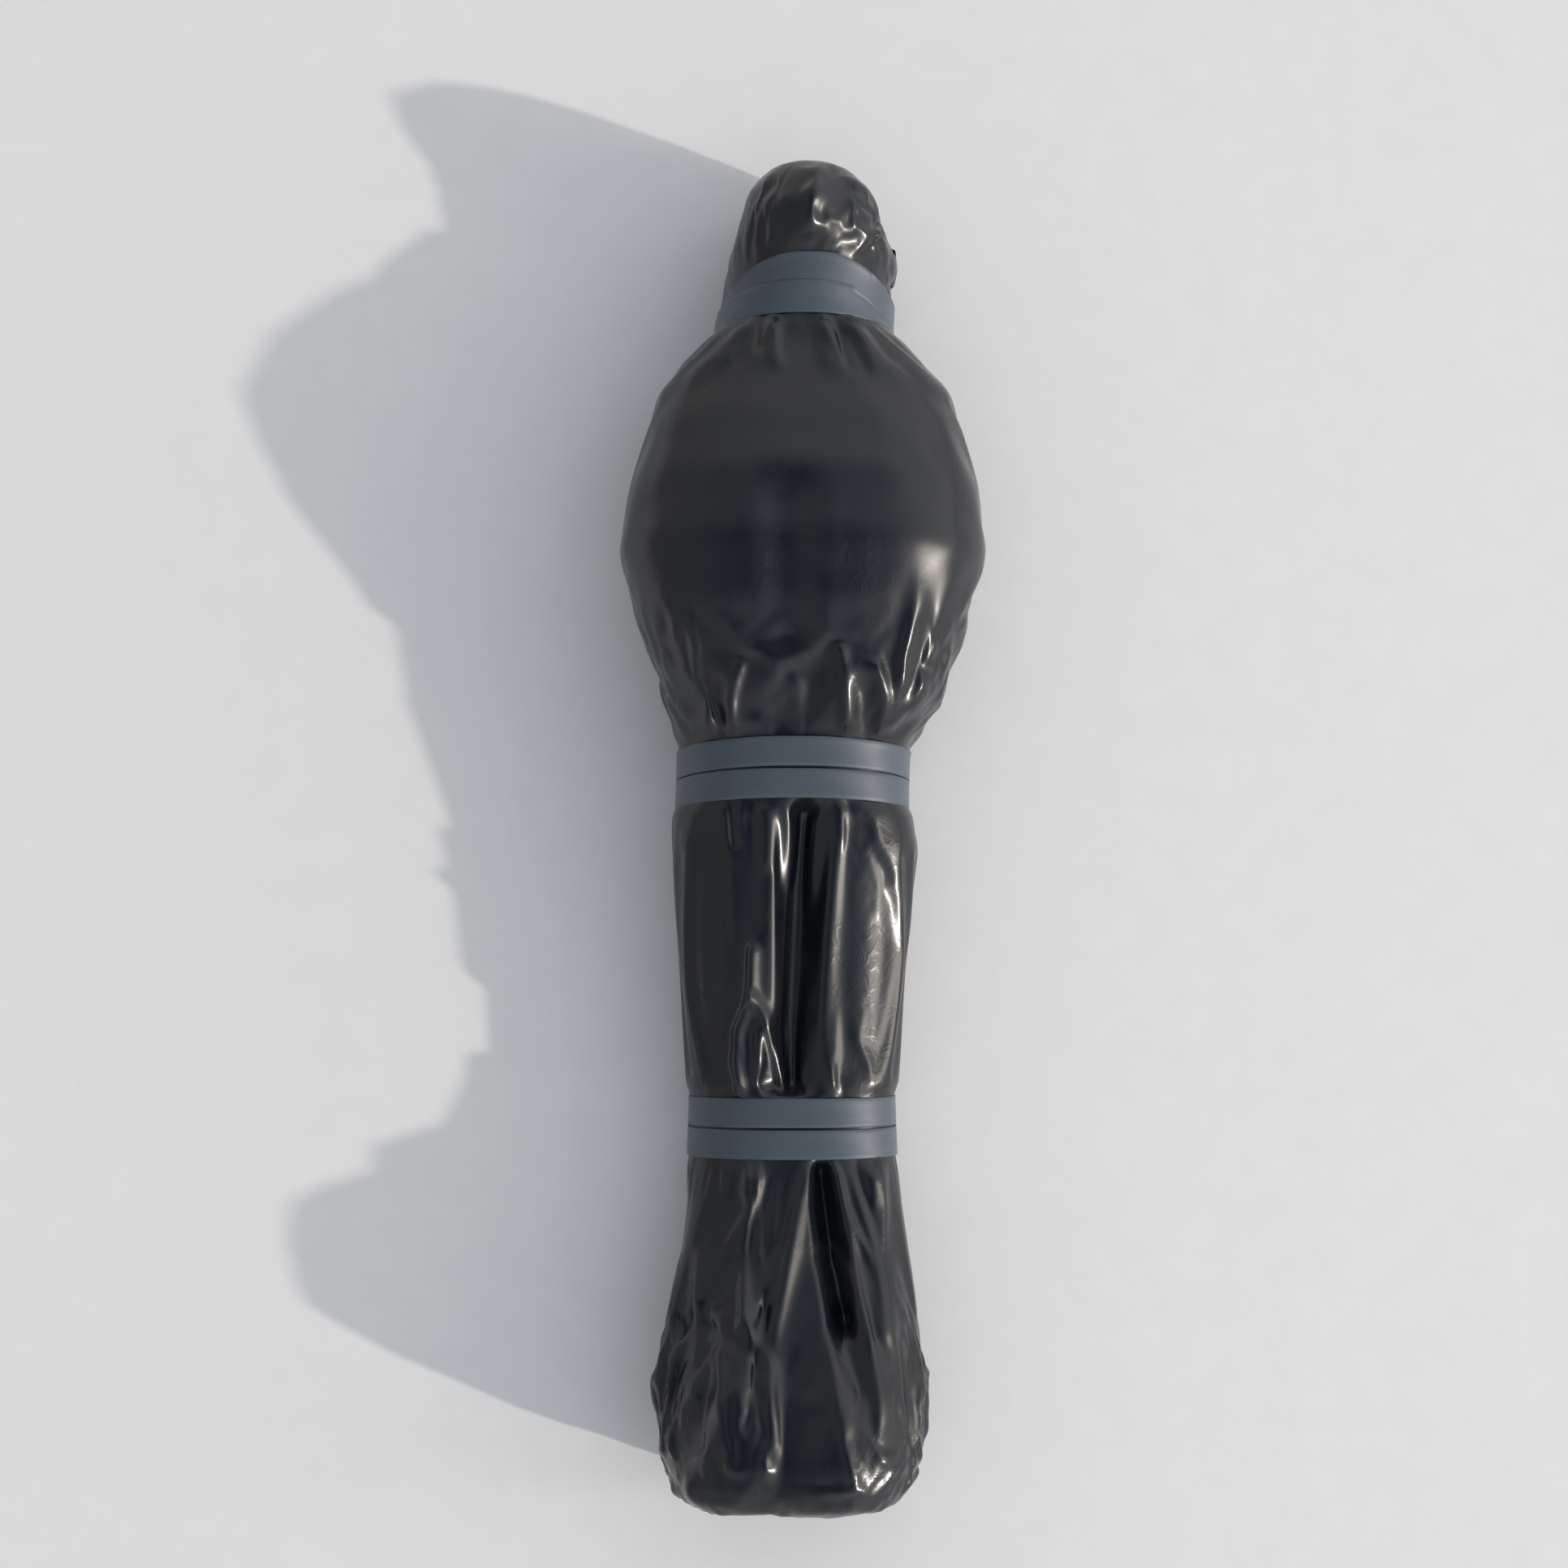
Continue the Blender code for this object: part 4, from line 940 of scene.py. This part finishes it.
def make_strap(name, top, bottom, body, sway, lap=0.0, lap_lift=0.0, slip=0.0):
    """A woven strap round the sheet, whose end lies over its start. lap moves its upper edge up
    over its neighbour at the top of the dummy, and lap_lift raises that edge. slip moves its sides
    and underside towards the feet."""
    section = strap_rows()
    turns = np.linspace(STRAP_END - 1.0, STRAP_END + STRAP_OVERLAP, STRAP_STEPS + 1)
    over = np.array([ramp(turn, STRAP_END - 0.012, STRAP_END + 0.004) for turn in turns])
    crest = np.array([bump(turn % 1.0, 0.5, 0.11) for turn in turns])
    aside = np.array([ramp(abs(turn % 1.0 - 0.5), 0.02, 0.24) for turn in turns])
    shift = sway * np.cos(2 * math.pi * (turns - 0.5)) - slip * aside
    columns = []
    for share, depth in section:
        level = top + share * (bottom - top)
        rise = (1 - share) ** 2
        outset = STRAP_FIT + STRAP_THICKNESS * depth
        ring = ring_points(level, outset, 720)
        wider = ring_points(level, outset + 0.004, 720)
        places = (turns % 1.0) * 720
        low = np.floor(places).astype(int) % 720
        mixed = (places % 1.0)[:, None]
        near = ring[low] * (1 - mixed) + ring[(low + 1) % 720] * mixed
        far = wider[low] * (1 - mixed) + wider[(low + 1) % 720] * mixed
        extra = over * (STRAP_THICKNESS + STRAP_FIT) + crest * rise * lap_lift
        place = near + (far - near) * (extra / 0.004)[:, None]
        place[:, 1] += shift + crest * rise * lap
        columns.append(place)
    grid = np.array(columns)
    count, steps = len(section), len(turns)
    points = grid.reshape(-1, 3)
    faces = [(i * steps + j, i * steps + j + 1, (i + 1) % count * steps + j + 1, (i + 1) % count * steps + j)
             for i in range(count) for j in range(steps - 1)]
    faces.append(tuple(i * steps for i in range(count)))
    faces.append(tuple(i * steps + steps - 1 for i in reversed(range(count))))
    mesh = mesh_from(name, points, faces)
    middle = grid[count // 4]
    run = np.concatenate([[0], np.cumsum(np.linalg.norm(np.diff(middle, axis=0), axis=1))])
    uv_map = mesh.uv_layers.new(name="strap_map")
    width = abs(top - bottom)
    for loop in mesh.loops:
        row, step = divmod(loop.vertex_index, steps)
        uv_map.data[loop.index].uv = (run[step], (section[row][0] - 0.5) * width)
    repair = bmesh.new()
    repair.from_mesh(mesh)
    bmesh.ops.recalc_face_normals(repair, faces=repair.faces)
    repair.to_mesh(mesh)
    repair.free()
    mesh.shade_smooth()
    mesh.set_sharp_from_angle(angle=math.radians(50))
    thing = new_object(f"{name}_webbing", mesh, WEBBING)
    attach(thing, body)
    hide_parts(name)
    make_stitches(name, grid[5], grid[count // 2 - 6], steps, body)
    return thing


def make_stitches(name, upper, lower, steps, body):
    """A stitched box that fastens the strap's end over its start."""
    first = int(steps * (1 - 0.70 * STRAP_OVERLAP / (1 + STRAP_OVERLAP)))
    last = steps - 5
    corners = [upper[first], upper[last], lower[last], lower[first]]
    outward = (upper[(first + last) // 2] - np.array(section_centre(upper[first][1])))
    outward = Vector(outward) * Vector((1, 0, 1))
    outward.normalize()
    shape = bmesh.new()
    lines = list(zip(corners, corners[1:] + corners[:1])) + [(corners[0], corners[2]), (corners[1], corners[3])]
    for start, end in lines:
        start, end = Vector(start), Vector(end)
        number = max(2, round((end - start).length / 0.0034))
        along = (end - start).normalized()
        side = along.cross(outward).normalized()
        for index in range(number):
            centre = start.lerp(end, (index + 0.5) / number) + outward * 0.0006
            add_stitch(shape, centre, along * 0.0013, side * 0.00035, outward * 0.00030)
    mesh = bpy.data.meshes.new(f"{name}_stitches")
    bmesh.ops.recalc_face_normals(shape, faces=shape.faces)
    shape.to_mesh(mesh)
    shape.free()
    mesh.shade_smooth()
    thing = new_object(f"{name}_stitches", mesh, THREAD)
    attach(thing, body)


def add_stitch(shape, centre, along, side, up):
    """One raised stitch: two tips and a ring of four points."""
    ends = [shape.verts.new(centre - along - up), shape.verts.new(centre + along - up)]
    middle = [shape.verts.new(centre + offset) for offset in (side, up, -side, -up)]
    for index in range(4):
        after = (index + 1) % 4
        shape.faces.new((ends[0], middle[after], middle[index]))
        shape.faces.new((ends[1], middle[index], middle[after]))


def section_centre(level):
    middle, _, low, top = section_at(level)
    return (middle, level, (low + top) / 2)


# ---------------------------------------------------------------- build

dress_nodes()
start_points = sheet_start()[0]
start_level = [point[1] for point in start_points]
sheet_points, sheet_faces = settled_sheet()
COVERS = (
    ("hood_cover", (CROWN + 1, NECK_MIDDLE)),
    ("torso_cover", (NECK_MIDDLE, HIP_MIDDLE)),
    ("thigh_cover", (HIP_MIDDLE, KNEE_MIDDLE)),
    ("foot_cover", (KNEE_MIDDLE, SOLE - 1)),
)
covers = {name: creased(apply_modifiers(cover(name, sheet_points, sheet_faces, levels, VINYL)))
          for name, levels in COVERS}
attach(covers["hood_cover"], "head")
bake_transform(covers["torso_cover"])
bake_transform(covers["thigh_cover"])
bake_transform(covers["foot_cover"])
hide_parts("hood_wrap")
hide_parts("collar_wrap", "torso_wrap")
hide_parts("hip_wrap", "thigh_wrap")
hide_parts("knee_wrap", "foot_wrap")


def strap_pair(place, body, sways, slips, lap=0.0, lap_lift=0.0):
    for part, sway, slip in zip(("upper", "lower"), sways, slips):
        name = f"{place}_strap_{part}"
        low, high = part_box(name)
        lapped = (lap, lap_lift) if part == "lower" else (0.0, 0.0)
        make_strap(name, high.y, low.y, body, sway, *lapped, slip)


strap_pair("neck", "head", (0.0, -0.001), (NECK_SLIP, 0.004), 0.0045, 0.0021)
strap_pair("hip", "torso", (0.0010, -0.0004), (0.007, 0.006))
strap_pair("knee", "thighs", (0.0, -0.0012), (0.0, 0.0))

# ---------------------------------------------------------------- floor, light and camera

floor = new_object("floor", mesh_from("floor", [(-6, -6, 0), (6, -6, 0), (6, 6, 0), (-6, 6, 0)],
                                      [(0, 1, 2, 3)]), FLOOR_PAINT)

WORLD_STRENGTH = 0.85
world = bpy.data.worlds.new("studio")
bpy.context.scene.world = world
world.use_nodes = True
world_nodes, world_links = world.node_tree.nodes, world.node_tree.links
background = world_nodes["Background"]
direction = world_nodes.new("ShaderNodeTexCoord")
split = world_nodes.new("ShaderNodeSeparateXYZ")
steps = world_nodes.new("ShaderNodeValToRGB")
side = world_nodes.new("ShaderNodeMapRange")
for label, value in (("From Min", -1.0), ("From Max", 1.0), ("To Min", 0.45), ("To Max", 1.55)):
    side.inputs[label].default_value = value
scaled = world_nodes.new("ShaderNodeMath")
scaled.operation = "MULTIPLY"
scaled.inputs[1].default_value = WORLD_STRENGTH
world_links.new(direction.outputs["Generated"], split.inputs["Vector"])
world_links.new(split.outputs["Z"], steps.inputs["Fac"])
world_links.new(steps.outputs["Color"], background.inputs["Color"])
world_links.new(split.outputs["X"], side.inputs["Value"])
world_links.new(side.outputs["Result"], scaled.inputs[0])
world_links.new(scaled.outputs["Value"], background.inputs["Strength"])
ends = steps.color_ramp.elements
ends[0].color, ends[1].color = (1.0, 0.99, 0.96, 1), (0.095, 0.128, 0.19, 1)
for position, colour in ((0.55, (1.0, 1.0, 1.0, 1)), (0.84, (0.56, 0.61, 0.69, 1))):
    ends.new(position).color = colour


def sun_light(name, turn, height, angle, power, colour):
    """A sun from turn degrees anticlockwise of +X and height degrees above the floor."""
    data = bpy.data.lights.new(name, "SUN")
    data.angle = math.radians(angle)
    data.energy = power
    data.color = colour
    light = bpy.data.objects.new(name, data)
    bpy.context.scene.collection.objects.link(light)
    light.rotation_euler = (0, math.radians(90 - height), math.radians(turn))
    return light


def softbox(name, place, target, size, power, colour):
    data = bpy.data.lights.new(name, "AREA")
    data.shape = "RECTANGLE"
    data.size, data.size_y = size
    data.energy = power
    data.color = colour
    light = bpy.data.objects.new(name, data)
    bpy.context.scene.collection.objects.link(light)
    light.location = place
    light.rotation_euler = (Vector(target) - Vector(place)).to_track_quat("-Z", "Y").to_euler()
    return light


sun_light("key", -21.5, 21, 1.4, 2.1, (1.0, 0.93, 0.85))
softbox("side", (5.0, -0.70, 2.10), (0, -0.15, 0.1), (0.55, 2.8), 42, (1.0, 0.90, 0.78))

camera_data = bpy.data.cameras.new("camera")
camera_data.lens = 50
camera_data.sensor_width = 36
camera = bpy.data.objects.new("camera", camera_data)
bpy.context.scene.collection.objects.link(camera)
camera.location = (-0.0247, -0.2215, 2.98)
camera.rotation_euler = (math.radians(5.4), 0, 0)
bpy.context.scene.camera = camera
bpy.context.scene.view_settings.view_transform = "Standard"
